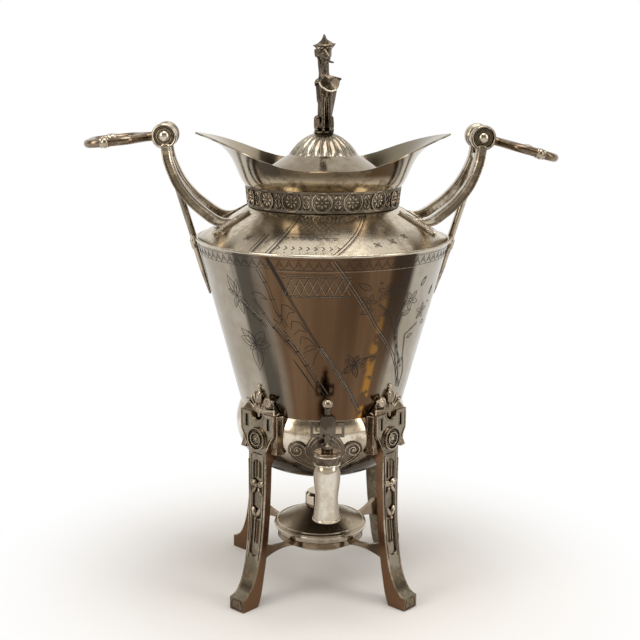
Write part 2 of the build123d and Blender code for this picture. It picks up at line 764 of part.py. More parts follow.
foot_out = wall_top_radius - prong_foot_in
foot_in = neck_radius - prong_end_in
for side, hand in ((1, "right"), (-1, "left")):
    with BuildPart() as arm:
        with BuildSketch(Plane.XZ):
            with BuildLine():
                Spline(
                    (side * (pivot_x - arm_top_in), pivot_z - arm_top_down),
                    (side * (pivot_x - arm_upper_in), pivot_z - arm_upper_down),
                    (side * (pivot_x - arm_middle_in), pivot_z - arm_middle_down),
                    (side * (pivot_x - arm_lower_in), pivot_z - arm_lower_down),
                    (side * (pivot_x - arm_foot_in), pivot_z - arm_foot_down),
                    (side * foot_out, shoulder_at(foot_out, prong_foot_y) + arm_thickness),
                )
            trace(line_width=arm_thickness)
            with BuildLine():
                Line(
                    (side * (foot_out + foot_lap), shoulder_at(foot_out, prong_foot_y) + foot_ridge / 3),
                    (side * foot_in, shoulder_at(foot_in, prong_foot_y) + foot_ridge / 3),
                )
            trace(line_width=foot_ridge)
        extrude(amount=prong_foot_y + prong_width, both=True)
        with BuildSketch(Plane.XZ):
            with Locations((side * pivot_x, pivot_z)):
                Circle(eye_radius)
        extrude(amount=eye_outer, both=True)
        with BuildSketch(Plane.YZ):
            with BuildLine():
                Polyline(
                    (eye_inner, pivot_z + eye_radius),
                    (eye_outer, pivot_z + eye_radius),
                    (eye_outer, bridge_top),
                    (prong_foot_y + prong_width / 2, shoulder_at(foot_out, prong_foot_y) + foot_ridge),
                    (prong_foot_y + prong_width / 2, wall_top),
                    (prong_foot_y - prong_width / 2, wall_top),
                    (prong_foot_y - prong_width / 2, shoulder_at(foot_out, prong_foot_y) + foot_ridge),
                    (eye_inner, bridge_top),
                    close=True,
                )
            make_face()
            mirror(about=Plane.YZ)
        extrude(amount=side * pivot_x * 2, mode=Mode.INTERSECT)
        with BuildSketch(Plane.XZ):
            with Locations((side * (pivot_x - bridge_in), bridge_top - bridge_height / 2)):
                Rectangle(bridge_depth, bridge_height)
        extrude(amount=eye_inner + prong_width / 2, both=True)
        add(body_core.part, mode=Mode.SUBTRACT)
        with BuildSketch(Plane.XZ):
            with Locations((side * pivot_x, pivot_z)):
                Circle(pin_radius)
        extrude(amount=eye_outer, both=True, mode=Mode.SUBTRACT)
        for face in (1, -1):
            with BuildSketch(Plane.XZ.offset(face * eye_outer)):
                with Locations((side * pivot_x, pivot_z)):
                    Circle(pin_recess_radius)
            extrude(amount=-face * pin_recess, mode=Mode.SUBTRACT)
    save(arm, f"{hand}_arm")

    with BuildPart() as strut:
        strut_top_x = pivot_x - bridge_in + strut_thickness / 2
        strut_edge_x = wall_top_radius + edge_bead + strut_proud
        strut_end = wall_top - strut_length
        wall_at_end = wall_foot_radius + (strut_end - wall_foot) * wall_slope
        with BuildSketch(Plane.XZ):
            with BuildLine():
                Polyline(
                    (side * strut_top_x, bridge_foot),
                    (side * strut_edge_x, wall_top),
                    (side * (wall_at_end + strut_proud), strut_end),
                    (side * (wall_at_end - strut_proud), strut_end),
                    (side * (strut_edge_x - strut_edge_thickness), wall_top),
                    (side * (strut_top_x - strut_thickness), bridge_foot),
                    close=True,
                )
            make_face()
        extrude(amount=strut_width / 2, both=True)
        add(body_core.part, mode=Mode.SUBTRACT)
        add(edge_wire.part, mode=Mode.SUBTRACT)
        largest = strut.part.solids().sort_by(SortBy.VOLUME)[-1]
        add(largest, mode=Mode.REPLACE)
    save(strut, f"{hand}_strut")

    with BuildPart() as pin:
        with BuildSketch(Plane.XZ):
            with Locations((side * pivot_x, pivot_z)):
                Circle(pin_radius)
        extrude(amount=eye_outer - pin_recess, both=True)
        for face in (1, -1):
            with BuildSketch(Plane.XZ.offset(face * (eye_outer - pin_recess))):
                with Locations((side * pivot_x, pivot_z)):
                    Circle(pin_head)
            extrude(amount=face * pin_head_height)
        ends = pin.edges().group_by(Axis.Y)
        fillet(ends[0] + ends[-1], radius=pin_head_round)
    save(pin, f"{hand}_handle_pin")

    droop = radians(right_droop if side == 1 else left_droop)
    loop_plane = Plane(
        origin=(side * pivot_x, 0, pivot_z),
        x_dir=(side * cos(droop), 0, -sin(droop)),
        z_dir=(sin(droop), 0, side * cos(droop)),
    )
    grip = ring_length - ring_bar
    with BuildPart() as ring:
        with BuildLine(loop_plane) as loop:
            FilletPolyline(
                (ring_neck_start, -ring_neck_half),
                (ring_neck_length, -ring_neck_half),
                (ring_shoulder, -ring_half_width),
                (grip, -ring_grip_half),
                (grip, ring_grip_half),
                (ring_shoulder, ring_half_width),
                (ring_neck_length, ring_neck_half),
                (ring_neck_start, ring_neck_half),
                radius=[ring_neck_bend, ring_bend, ring_bend, ring_bend, ring_bend, ring_neck_bend],
            )
        with BuildSketch(Plane(origin=loop.line @ 0, z_dir=loop.line % 0)):
            Circle(ring_bar)
        sweep()
        with BuildSketch(Plane.XZ):
            with Locations((side * pivot_x, pivot_z)):
                Circle(knuckle_radius)
        extrude(amount=knuckle_half, both=True)
        with BuildSketch(Plane.XZ):
            with Locations((side * pivot_x, pivot_z)):
                Circle(pin_radius + running_gap)
        extrude(amount=knuckle_half, both=True, mode=Mode.SUBTRACT)
    save(ring, f"{hand}_ring")

# Four cast legs. Each head hugs the bowl, and the shaft runs down to an outward toe.
flute_back = head_face - flute_depth
for corner, azimuth in leg_azimuths.items():
    with BuildPart() as leg:
        # the side view: a thin casting that curls outward at the foot
        with BuildSketch(radial(azimuth)):
            with BuildLine():
                Line((head_face, head_top), (head_face, shaft_top))
                Bezier(
                    (head_face, shaft_top),
                    (head_face, shin_pull),
                    (head_face + instep_out, instep_height),
                    (head_face + toe_reach, toe_height),
                )
                Polyline(
                    (head_face + toe_reach, toe_height),
                    (head_face + toe_reach, 0),
                    (head_face + toe_reach - sole_length, 0),
                )
                Bezier(
                    (head_face + toe_reach - sole_length, 0),
                    (head_face - arch_in, arch_height),
                    (head_face - shaft_thickness, calf_pull),
                    (head_face - shaft_thickness, shaft_top),
                )
                Polyline(
                    (head_face - shaft_thickness, shaft_top),
                    (head_face - head_depth, head_top - head_height),
                    (head_face - head_depth, head_top),
                    (head_face, head_top),
                )
            make_face()
        extrude(amount=head_half_width, both=True)
        # the front view: a hammer-shaped head over a slightly tapered shaft
        with BuildSketch(facing(azimuth)):
            with BuildLine():
                Polyline(
                    (0, 0),
                    (toe_half_width, 0),
                    (toe_half_width, toe_height),
                    (ankle_half_width, ankle_height),
                    (shaft_half_width, shaft_top),
                    (shaft_half_width, head_top - ear_height - corbel_height),
                )
                ThreePointArc(
                    (shaft_half_width, head_top - ear_height - corbel_height),
                    (shaft_half_width + corbel_curve_out, head_top - ear_height - corbel_curve_down),
                    (head_half_width - corbel_edge_in, head_top - ear_height),
                )
                Polyline(
                    (head_half_width - corbel_edge_in, head_top - ear_height),
                    (head_half_width, head_top - ear_height),
                    (head_half_width, head_top),
                    (head_notch, head_top),
                )
                ThreePointArc(
                    (head_notch, head_top),
                    (head_notch * sqrt(0.5), head_top - head_notch * sqrt(0.5)),
                    (0, head_top - head_notch),
                )
                Line((0, head_top - head_notch), (0, 0))
            make_face()
            mirror(about=Plane.YZ)
        extrude(amount=head_face + toe_reach, mode=Mode.INTERSECT)
        # two upright slots in the head, and the long sunk panel of the shaft
        with BuildSketch(facing(azimuth, head_face)):
            with Locations(
                (head_slot_place, head_top - ear_height / 2), (-head_slot_place, head_top - ear_height / 2)
            ):
                SlotOverall(head_slot_height, head_slot_width, rotation=90)
        extrude(amount=-head_slot_depth, mode=Mode.SUBTRACT)
        with BuildPart(mode=Mode.PRIVATE) as panel:
            with BuildSketch(radial(azimuth)):
                with BuildLine():
                    Line((flute_back, head_top), (flute_back, shaft_top))
                    Bezier(
                        (flute_back, shaft_top),
                        (flute_back, shin_pull),
                        (flute_back + instep_out, instep_height),
                        (flute_back + toe_reach, toe_height),
                    )
                    Polyline(
                        (flute_back + toe_reach, toe_height),
                        (head_face + toe_reach * 2, toe_height),
                        (head_face + toe_reach * 2, head_top),
                        (flute_back, head_top),
                    )
                make_face()
            extrude(amount=flute_half_width, both=True)
            with BuildSketch(facing(azimuth)):
                with Locations((0, (flute_top + flute_foot) / 2)):
                    SlotOverall(flute_top - flute_foot, flute_half_width * 2, rotation=90)
            extrude(amount=head_face + toe_reach * 2, mode=Mode.INTERSECT)
        add(panel.part, mode=Mode.SUBTRACT)
        add(body_core.part, mode=Mode.SUBTRACT)
    save(leg, f"leg_{corner}")

    # Rosette on the head: three steps and a domed boss
    with BuildPart() as rosette:
        with BuildSketch(facing(azimuth, head_face)):
            with Locations((0, rosette_height)):
                Circle(rosette_radius)
        extrude(amount=rosette_step)
        with BuildSketch(facing(azimuth, head_face + rosette_step)):
            with Locations((0, rosette_height)):
                Circle(rosette_ring_outer)
                Circle(rosette_ring_inner, mode=Mode.SUBTRACT)
                Circle(rosette_boss)
        extrude(amount=rosette_step)
    save(rosette, f"rosette_{corner}")

    # Spray of flowers that stands on the head against the wall
    spray_face = head_face + spray_proud
    with BuildPart() as spray:
        with BuildSketch(facing(azimuth, spray_face)):
            with Locations((0, head_top + middle_flower_up)):
                Circle(middle_flower_radius)
            with Locations((0, head_top + spray_height)):
                Circle(bud_radius)
            with Locations(
                (side_flower_out, head_top + side_flower_up), (-side_flower_out, head_top + side_flower_up)
            ):
                Circle(flower_radius)
            with BuildLine():
                Polyline(
                    (head_half_width, head_top),
                    (side_flower_out + flower_radius / 2, head_top + side_flower_up),
                    (side_flower_out - flower_radius, head_top + side_flower_up),
                    (flower_radius, head_top + side_flower_up / 2),
                    (bud_half, head_top + spray_height),
                    (-bud_half, head_top + spray_height),
                    (-flower_radius, head_top + side_flower_up / 2),
                    (flower_radius - side_flower_out, head_top + side_flower_up),
                    (-side_flower_out - flower_radius / 2, head_top + side_flower_up),
                    (-head_half_width, head_top),
                    close=True,
                )
            make_face()
        extrude(amount=-spray_thickness)
        add(body_core.part, mode=Mode.SUBTRACT)
        largest = spray.part.solids().sort_by(SortBy.VOLUME)[-1]
        add(largest, mode=Mode.REPLACE)
    save(spray, f"spray_{corner}")

    # Bracket from the cradle's ring out to the leg
    with BuildPart() as cradle_arm:
        arm_end = head_face
        cradle_foot = cradle_top - cradle_height
        with BuildSketch(radial(azimuth)):
            with BuildLine():
                Line((cradle_outer, cradle_foot), (cradle_outer, cradle_top))
                ThreePointArc(
                    (cradle_outer, cradle_top),
                    ((cradle_outer + arm_end) / 2, cradle_top + cradle_arm_rise),
                    (arm_end, cradle_arm_top),
                )
                Line((arm_end, cradle_arm_top), (arm_end, cradle_arm_foot))
                ThreePointArc(
                    (arm_end, cradle_arm_foot),
                    ((cradle_outer + arm_end) / 2, cradle_foot + cradle_arm_foot_rise),
                    (cradle_outer, cradle_foot),
                )
            make_face()
        extrude(amount=cradle_arm_half, both=True)
        add(leg.part, mode=Mode.SUBTRACT)
        largest = cradle_arm.part.solids().sort_by(SortBy.VOLUME)[-1]
        add(largest, mode=Mode.REPLACE)
        with BuildSketch(Plane.XY):
            Circle(cradle_outer)
        extrude(amount=cradle_arm_top * 2, mode=Mode.SUBTRACT)
    save(cradle_arm, f"cradle_arm_{corner}")

# Cradle ring that holds the lamp
with BuildPart() as cradle_ring:
    with BuildSketch(Plane.XY.offset(cradle_top - cradle_height)):
        Circle(cradle_outer)
        Circle(cradle_inner, mode=Mode.SUBTRACT)
    extrude(amount=cradle_height)
save(cradle_ring, "cradle_ring")

# Lamp bowl: a wide rim, a step that sits on the cradle, and a well for the spirit
lamp_step = cradle_top + seat_gap
lamp_floor = cradle_top - lamp_well_depth
lamp_well = cradle_inner - seat_gap * 1.5
rim_foot = lamp_rim_height - lamp_rim_thickness
with BuildPart() as lamp_bowl:
    with BuildSketch(Plane.XZ):
        with BuildLine():
            Polyline(
                (lamp_rim_radius - lamp_wall * 1.5, lamp_rim_height),
                (lamp_rim_radius, lamp_rim_height),
                (lamp_rim_radius, rim_foot),
                (cradle_outer, lamp_step),
                (lamp_well, lamp_step),
                (lamp_well, lamp_step - lamp_well_depth / 3),
            )
            ThreePointArc(
                (lamp_well, lamp_step - lamp_well_depth / 3),
                (lamp_well - lamp_well_round, lamp_floor + lamp_well_round_up),
                (lamp_floor_radius, lamp_floor),
            )
            Polyline(
                (lamp_floor_radius, lamp_floor),
                (0, lamp_floor),
                (0, lamp_floor + lamp_wall),
                (lamp_floor_radius, lamp_floor + lamp_wall),
            )
            ThreePointArc(
                (lamp_floor_radius, lamp_floor + lamp_wall),
                (
                    lamp_well - lamp_well_round - lamp_wall * sqrt(0.5),
                    lamp_floor + lamp_well_round_up + lamp_wall * sqrt(0.5),
                ),
                (lamp_well - lamp_wall, lamp_step - lamp_well_depth / 3),
            )
            Polyline(
                (lamp_well - lamp_wall, lamp_step - lamp_well_depth / 3),
                (lamp_well - lamp_wall, lamp_step + lamp_wall),
                (cradle_outer - lamp_wall / 2, lamp_step + lamp_wall),
                (lamp_rim_radius - lamp_wall * 1.5, rim_foot),
                (lamp_rim_radius - lamp_wall * 1.5, lamp_rim_height),
            )
        make_face()
    revolve(axis=Axis.Z)
save(lamp_bowl, "lamp_bowl")

# Lamp top, a polished cone with a hole for the burner
with BuildPart() as lamp_top:
    with BuildSketch(Plane.XZ):
        with BuildLine():
            Polyline(
                (lamp_rim_radius - lamp_wall * 1.5, lamp_rim_height),
                (lamp_rim_radius, lamp_rim_height),
                (lamp_rim_radius, lamp_cone_foot),
                (burner_hole, lamp_cone_top),
                (burner_hole, lamp_cone_top - lamp_wall),
                (lamp_rim_radius - lamp_wall * 1.5, lamp_cone_foot - lamp_wall / 3),
                close=True,
            )
        make_face()
    revolve(axis=Axis.Z)
save(lamp_top, "lamp_top")

# Burner collar, a flanged ring set in the cone
with BuildPart() as burner_collar:
    with BuildSketch(Plane.XZ):
        with BuildLine():
            Polyline(
                (wick_tube_radius, lamp_cone_top - burner_collar_depth),
                (burner_hole, lamp_cone_top - burner_collar_depth),
                (burner_hole, lamp_cone_top),
                (burner_flange, lamp_cone_top),
                (burner_flange, burner_top),
                (wick_tube_radius, burner_top),
                close=True,
            )
        make_face()
    revolve(axis=Axis.Z)
save(burner_collar, "burner_collar")

# Wick tube through the collar, and the wick in it, which hangs into the spirit
tube_top = burner_top + wick_tube_up
with BuildPart() as wick_tube:
    with BuildSketch(Plane.XY.offset(tube_top - wick_tube_length)):
        Circle(wick_tube_radius)
        Circle(wick_tube_radius - wick_tube_wall, mode=Mode.SUBTRACT)
    extrude(amount=wick_tube_length)
save(wick_tube, "wick_tube")

with BuildPart() as wick:
    with BuildSketch(Plane.XY.offset(lamp_floor + lamp_wall + seat_gap)):
        Circle(wick_tube_radius - wick_tube_wall - wick_gap)
    extrude(amount=tube_top + wick_up - lamp_floor - lamp_wall - seat_gap)
save(wick, "wick")

# Cap that puts the flame out
cap_foot = burner_top + seat_gap
cap_top = cap_foot + cap_height
with BuildPart() as snuffer:
    with BuildSketch(Plane.XZ):
        with BuildLine():
            Polyline(
                (cap_radius, cap_foot),
                (cap_radius, cap_top - cap_edge),
                (cap_radius - cap_edge, cap_top),
                (0, cap_top),
                (0, cap_top - cap_wall),
                (cap_radius - cap_edge - cap_wall / 2, cap_top - cap_wall),
                (cap_radius - cap_wall, cap_top - cap_edge - cap_wall / 2),
                (cap_radius - cap_wall, cap_foot),
                close=True,
            )
        make_face()
    revolve(axis=Axis.Z)
save(snuffer, "snuffer_cap")

# Tap body: an upright barrel with a spout below it, on a pipe from the bowl
spout_axis = Axis((0, -tap_reach, 0), (0, 0, 1))
tap_plane = Plane(origin=(0, -tap_reach, 0), x_dir=(1, 0, 0), z_dir=(0, -1, 0))
with BuildPart() as tap_body:
    with BuildSketch(tap_plane):
        with BuildLine():
            Polyline(
                (0, spout_end),
                (spout_lip, spout_end),
                (spout_lip, spout_end + spout_lip_height),
                (spout_edge, spout_end + spout_edge_up),
            )
            Spline(
                (spout_edge, spout_end + spout_edge_up),
                (spout_low_radius, spout_end + spout_low_up),
                (spout_waist_radius, spout_end + spout_waist_up),
                (barrel_swell_radius, pipe_height - barrel_swell_down),
                (barrel_neck_radius, pipe_height + barrel_neck_up),
            )
            Polyline(
                (barrel_neck_radius, pipe_height + barrel_neck_up),
                (barrel_lip_radius, pipe_height + barrel_lip_foot),
                (barrel_lip_radius, pipe_height + barrel_lip_top),
                (barrel_band_radius, pipe_height + barrel_band_foot),
                (barrel_top_radius, barrel_top),
                (0, barrel_top),
                (0, spout_end),
            )
        make_face()
    revolve(axis=spout_axis)
    with BuildSketch(facing(270)):
        with Locations((0, pipe_height)):
            Circle(pipe_radius)
    extrude(amount=tap_reach)
    add(body_core.part, mode=Mode.SUBTRACT)
    with BuildSketch(Plane.XY.offset(spout_end)):
        with Locations((0, -tap_reach)):
            Circle(spout_bore)
    extrude(amount=barrel_top - spout_end, mode=Mode.SUBTRACT)
    with BuildSketch(Plane.XY.offset(plug_foot - seat_gap)):
        with Locations((0, -tap_reach)):
            Circle(plug_radius + running_gap)
    extrude(amount=barrel_top, mode=Mode.SUBTRACT)
    with BuildSketch(facing(270)):
        with Locations((0, pipe_height)):
            Circle(pipe_bore)
    extrude(amount=tap_reach, mode=Mode.SUBTRACT)
save(tap_body, "tap_body")

# Ornamental plate behind the tap, bent to the bowl and soldered on
with BuildPart() as tap_plate:
    with BuildSketch(Plane.XZ):
        with BuildLine():
            bowl_line(-plate_thickness)
            Line(bowl_rim(-plate_thickness), bowl_rim(-plate_solder))
            bowl_line(-plate_solder)
            Line((0, bowl_floor - plate_solder), (0, bowl_floor - plate_thickness))
        make_face()
    revolve(axis=Axis.Z)
    with BuildSketch(facing(270)):
        with Locations((0, plate_height)):
            Circle(plate_arch_radius)
        with Locations((plate_volute_out, plate_height), (-plate_volute_out, plate_height)):
            Circle(plate_volute_radius)
        with BuildLine():
            Polyline(
                (plate_volute_out, plate_height + plate_volute_edge),
                (-plate_volute_out, plate_height + plate_volute_edge),
                (-plate_volute_out - plate_volute_edge, plate_height - plate_volute_under),
                (-plate_foot_half, plate_foot),
                (plate_foot_half, plate_foot),
                (plate_volute_out + plate_volute_edge, plate_height - plate_volute_under),
                close=True,
            )
        make_face()
        with Locations((0, pipe_height)):
            Circle(pipe_radius, mode=Mode.SUBTRACT)
    extrude(amount=belly_radius * 2, mode=Mode.INTERSECT)
save(tap_plate, "tap_plate")

# Plug that turns in the barrel: hollow below, with a port in its side. At rest it is shut,
# with the port turned away from the pipe.
stem_radius = gland_bore - running_gap
stem_top = gland_top + seat_gap
with BuildPart() as plug:
    with BuildSketch(Plane.XY.offset(plug_foot)):
        with Locations((0, -tap_reach)):
            Circle(plug_radius)
    extrude(amount=barrel_top - seat_gap - plug_foot)
    with BuildSketch(Plane.XY.offset(barrel_top - seat_gap)):
        with Locations((0, -tap_reach)):
            Circle(stem_radius)
    extrude(amount=stem_top - barrel_top + seat_gap)
    with BuildSketch(Plane.XY.offset(plug_foot)):
        with Locations((0, -tap_reach)):
            Circle(plug_hollow)
    extrude(amount=plug_drop + plug_port + plug_hollow_over, mode=Mode.SUBTRACT)
    with BuildSketch(Plane.YZ):
        with Locations((-tap_reach, pipe_height)):
            Circle(plug_port)
    extrude(amount=plug_radius * 2, mode=Mode.SUBTRACT)
save(plug, "tap_plug")

# Gland ring screwed on the barrel, which keeps the plug down
with BuildPart() as gland:
    with BuildSketch(Plane.XY.offset(barrel_top)):
        with Locations((0, -tap_reach)):
            Circle(gland_radius)
            Circle(gland_bore, mode=Mode.SUBTRACT)
    extrude(amount=gland_height)
    top_edges = gland.edges().filter_by(GeomType.CIRCLE).group_by(Axis.Z)[-1]
    fillet(top_edges.sort_by(SortBy.RADIUS)[-1], radius=gland_height / 3)
save(gland, "tap_gland")

# Key: a turned stem, a square block with a pierced frame on each side, and a ball
block_foot = stem_top + key_bead_height + key_stem_length
block_top = block_foot + key_block_height
ball_middle = block_top + key_neck_length + key_ball_sink
with BuildPart() as key:
    with BuildSketch(tap_plane):
        with BuildLine():
            Polyline(
                (0, stem_top),
                (stem_radius, stem_top),
                (key_bead, stem_top + key_bead_low),
                (key_bead, stem_top + key_bead_high),
                (key_stem, stem_top + key_bead_height),
                (key_stem, block_top + key_neck_length),
                (0, block_top + key_neck_length),
                (0, stem_top),
            )
        make_face()
    revolve(axis=spout_axis)
    with Locations((0, -tap_reach, ball_middle)):
        Sphere(key_ball)
    with BuildSketch(tap_plane):
        with BuildLine():
            Polyline(
                (-key_block_half, block_foot),
                (key_block_half, block_foot),
                (key_block_half, block_top - key_block_bevel),
                (key_block_half - key_block_bevel, block_top),
                (key_block_bevel - key_block_half, block_top),
                (-key_block_half, block_top - key_block_bevel),
                close=True,
            )
        make_face()
    extrude(amount=key_block_depth, both=True)
    fret_foot = block_foot - fret_drop
    with BuildSketch(tap_plane):
        with Locations((0, fret_foot + fret_height / 2)):
            Rectangle(fret_half_width * 2, fret_height)
        hole_half = (fret_half_width - key_block_half) / 2 - fret_bar / 2
        hole_out = (fret_half_width + key_block_half) / 2 - fret_bar / 2
        with Locations((hole_out, fret_foot + fret_height / 2), (-hole_out, fret_foot + fret_height / 2)):
            Rectangle(hole_half * 2, fret_height - fret_bar * 2, mode=Mode.SUBTRACT)
        with Locations((0, fret_foot + fret_drop / 2)):
            Rectangle(fret_gap_half * 2, fret_drop, mode=Mode.SUBTRACT)
    extrude(amount=fret_thickness / 2, both=True)
save(key, "tap_key")
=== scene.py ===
# %% [markdown]
# # Antique samovar: the looks
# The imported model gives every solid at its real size, in metres. This script dresses it: polished sheets
# with smooth reflections, engraving, rosettes, cast ornament and tarnished silver.
# The origin is on the table under the middle of the urn, and the tap points along -Y.

# %% Load the frame
import json
from math import atan2, ceil, cos, hypot, pi, radians, sin, sqrt

import bmesh
import bpy
import numpy as np
from mathutils import Matrix, Vector


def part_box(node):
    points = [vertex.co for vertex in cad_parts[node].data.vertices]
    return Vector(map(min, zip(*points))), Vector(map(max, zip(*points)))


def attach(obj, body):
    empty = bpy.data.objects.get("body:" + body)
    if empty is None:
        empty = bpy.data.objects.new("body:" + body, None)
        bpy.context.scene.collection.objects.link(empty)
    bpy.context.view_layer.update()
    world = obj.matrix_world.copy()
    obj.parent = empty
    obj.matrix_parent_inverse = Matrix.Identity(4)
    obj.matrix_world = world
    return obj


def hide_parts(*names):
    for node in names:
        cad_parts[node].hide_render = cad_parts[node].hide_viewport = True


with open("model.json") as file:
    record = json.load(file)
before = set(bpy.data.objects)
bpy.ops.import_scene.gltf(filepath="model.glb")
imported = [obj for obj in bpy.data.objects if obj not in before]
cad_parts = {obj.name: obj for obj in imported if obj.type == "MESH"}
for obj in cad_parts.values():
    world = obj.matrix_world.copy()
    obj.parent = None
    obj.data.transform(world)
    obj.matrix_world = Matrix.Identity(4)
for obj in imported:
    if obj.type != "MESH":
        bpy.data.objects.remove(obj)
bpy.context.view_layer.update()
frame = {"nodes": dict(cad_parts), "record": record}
MM = 0.001

# %% [markdown]
# ## Camera
# A photograph of an object this size is taken from about a metre away. Matching the ellipses of the rims
# gives the camera's height, distance and tilt, so the same points fall on the same pixels.

# %% Camera
camera_distance = 0.94537
camera_height = 0.41985
camera_turn = radians(2.8)
camera_tilt = radians(12.1)
camera_aside = radians(0.1)
camera_roll = radians(0.5)
lens = bpy.data.cameras.new("photo_lens")
lens.lens = 68.06
lens.sensor_width = 36.0
lens.clip_start = 0.01
camera = bpy.data.objects.new("photo_camera", lens)
camera.location = (
    -camera_distance * sin(camera_turn),
    -camera_distance * cos(camera_turn),
    camera_height,
)
camera.rotation_euler = (
    Matrix.Rotation(camera_aside - camera_turn, 3, "Z")
    @ Matrix.Rotation(pi / 2 - camera_tilt, 3, "X")
    @ Matrix.Rotation(camera_roll, 3, "Z")
).to_euler()
scene = bpy.context.scene
scene.collection.objects.link(camera)
scene.camera = camera
scene.view_settings.view_transform = "Standard"
print("camera at", [round(c, 3) for c in camera.location])

# %% [markdown]
# ## Node trees as Python sums
# Blender's shaders and Geometry Nodes are both trees of small nodes. Writing `1 - mask * 0.5` is easier to
# read than four links, so one small class wraps a socket and turns each sum into its Math node.

# %% A number that lives in a node tree
class Number:
    """One output socket, used in sums as if it were a plain number."""

    def __init__(self, tree, socket):
        self.tree = tree
        self.socket = socket

    def maths(self, operation, *others):
        """A Math node that takes this number first."""
        return self.tree.node("ShaderNodeMath", {"operation": operation}, [self, *others])

    def turned(self, operation, other):
        """A Math node that takes this number last, as in `1 - mask`."""
        return self.tree.node("ShaderNodeMath", {"operation": operation}, [other, self])

    def other(self, name):
        """Another output of the same node."""
        return Number(self.tree, self.socket.node.outputs[name])

    def __add__(self, other):
        return self.maths("ADD", other)

    def __sub__(self, other):
        return self.maths("SUBTRACT", other)

    def __rsub__(self, other):
        return self.turned("SUBTRACT", other)

    def __mul__(self, other):
        return self.maths("MULTIPLY", other)

    def __truediv__(self, other):
        return self.maths("DIVIDE", other)

    def __rtruediv__(self, other):
        return self.turned("DIVIDE", other)

    def __pow__(self, other):
        return self.maths("POWER", other)

    def __lt__(self, other):
        return self.maths("LESS_THAN", other)

    def __abs__(self):
        return self.maths("ABSOLUTE")

    __radd__ = __add__
    __rmul__ = __mul__

    def ramp(self, low, high, start=0.0, end=1.0):
        """A smooth step from start to end while this number goes from low to high."""
        settings = {"interpolation_type": "SMOOTHSTEP", "clamp": True}
        return self.tree.node("ShaderNodeMapRange", settings, [self, low, high, start, end])

    def band(self, start, full, fade, end):
        """One between full and fade, and zero before start and after end."""
        return self.ramp(start, full) * (1 - self.ramp(fade, end))


# %% One method that adds any other node
class Tree:
    """A node tree that is being built."""

    def __init__(self, tree):
        self.tree = tree

    def node(self, kind, settings=None, inputs=(), output=0):
        """Add a node. Its settings come first, then the values or links of its sockets."""
        made = self.tree.nodes.new(kind)
        for name, value in (settings or {}).items():
            setattr(made, name, value)
        pairs = inputs.items() if isinstance(inputs, dict) else enumerate(inputs)
        for key, value in pairs:
            if isinstance(value, Number):
                self.tree.links.new(value.socket, made.inputs[key])
            else:
                made.inputs[key].default_value = value
        if made.outputs:
            return Number(self, made.outputs[output])

    def vector(self, x, y, z):
        """Three numbers, joined in one vector."""
        return self.node("ShaderNodeCombineXYZ", inputs=[x, y, z])

    def axes(self, vector):
        """The x, y and z of a vector."""
        x = self.node("ShaderNodeSeparateXYZ", inputs=[vector])
        return x, x.other("Y"), x.other("Z")

    def place(self):
        """Where a point lies on its piece, in metres."""
        return self.node("ShaderNodeTexCoord", output="Object")

    def facing(self):
        """Which way the surface looks at a point."""
        return self.node("ShaderNodeTexCoord", output="Normal")

    def noise(self, place, scale, detail):
        return self.node("ShaderNodeTexNoise", inputs={"Vector": place, "Scale": scale, "Detail": detail})

    def blend(self, factor, first, second):
        """Mix two colours. A Mix node keeps its sockets for colours at 6 and 7, and its result at 2."""
        first, second = (c if isinstance(c, Number) else (*c, 1.0) for c in (first, second))
        return self.node("ShaderNodeMix", {"data_type": "RGBA"}, {0: factor, 6: first, 7: second}, 2)


# %% [markdown]
# ## Studio
# The floor is pale and plain. Away from the urn it fades into white for the camera and for reflections
# only, so the picture has the white ground of the photograph while the light on the urn stays soft.
# Silver shows what stands around it: a warm, darker room in front, two soft boxes and a bright ceiling.

# %% Floor
floor_pale = (0.82, 0.80, 0.77, 1.0)
pure_white = (1.0, 1.0, 1.0, 1.0)
floor_reach = 4.0
fade_start = 0.10
fade_end = 0.30


def new_material(name):
    """An empty material, and the tree that paints it."""
    material = bpy.data.materials.new(name)
    material.use_nodes = True
    material.node_tree.nodes.clear()
    return material, Tree(material.node_tree)


def ray_kinds(tree):
    """One for the camera's rays, and one for rays from a mirror or through glass."""
    path = tree.node("ShaderNodeLightPath")
    return path, path.other("Is Glossy Ray").maths("MAXIMUM", path.other("Is Transmission Ray"))


def floor_material():
    """Matt for the light, and white far from the urn for the camera and for mirrors."""
    material, tree = new_material("pale_floor")
    away = tree.node("ShaderNodeVectorMath", {"operation": "LENGTH"}, [tree.place()], "Value")
    matt = tree.node("ShaderNodeBsdfDiffuse", inputs={"Color": floor_pale})
    white = tree.node("ShaderNodeEmission", inputs={"Color": pure_white, "Strength": 1.0})
    direct, mirrored = ray_kinds(tree)
    fade = away.ramp(fade_start, fade_end) * direct.maths("MAXIMUM", mirrored)
    mixed = tree.node("ShaderNodeMixShader", inputs=[fade, matt, white])
    tree.node("ShaderNodeOutputMaterial", inputs=[mixed])
    return material


def plain_mesh(name, corners, faces, material=None):
    mesh = bpy.data.meshes.new(name)
    mesh.from_pydata(corners, [], faces)
    if material:
        mesh.materials.append(material)
    made = bpy.data.objects.new(name, mesh)
    scene.collection.objects.link(made)
    return made


floor_corners = [(x * floor_reach, y * floor_reach, 0) for x, y in ((-1, -1), (1, -1), (1, 1), (-1, 1))]
floor = plain_mesh("floor", floor_corners, [(0, 1, 2, 3)], floor_material())
print("floor", 2 * floor_reach, "m wide, white from", fade_end, "m on")

# %% Room and lamps
room_front = (0.10, 0.08, 0.06)
room_window = (0.62, 0.56, 0.48)
room_pale = (1.0, 0.98, 0.95)
window_heights = (-0.04, 0.06, 0.16, 0.42)
front_to_back = (-0.12, 0.55)
ceiling_heights = (0.45, 0.85)
fill_colour = (1.0, 0.97, 0.93, 1.0)
fill_light = 0.55
lamp_target = Vector((0, 0, 0.2))


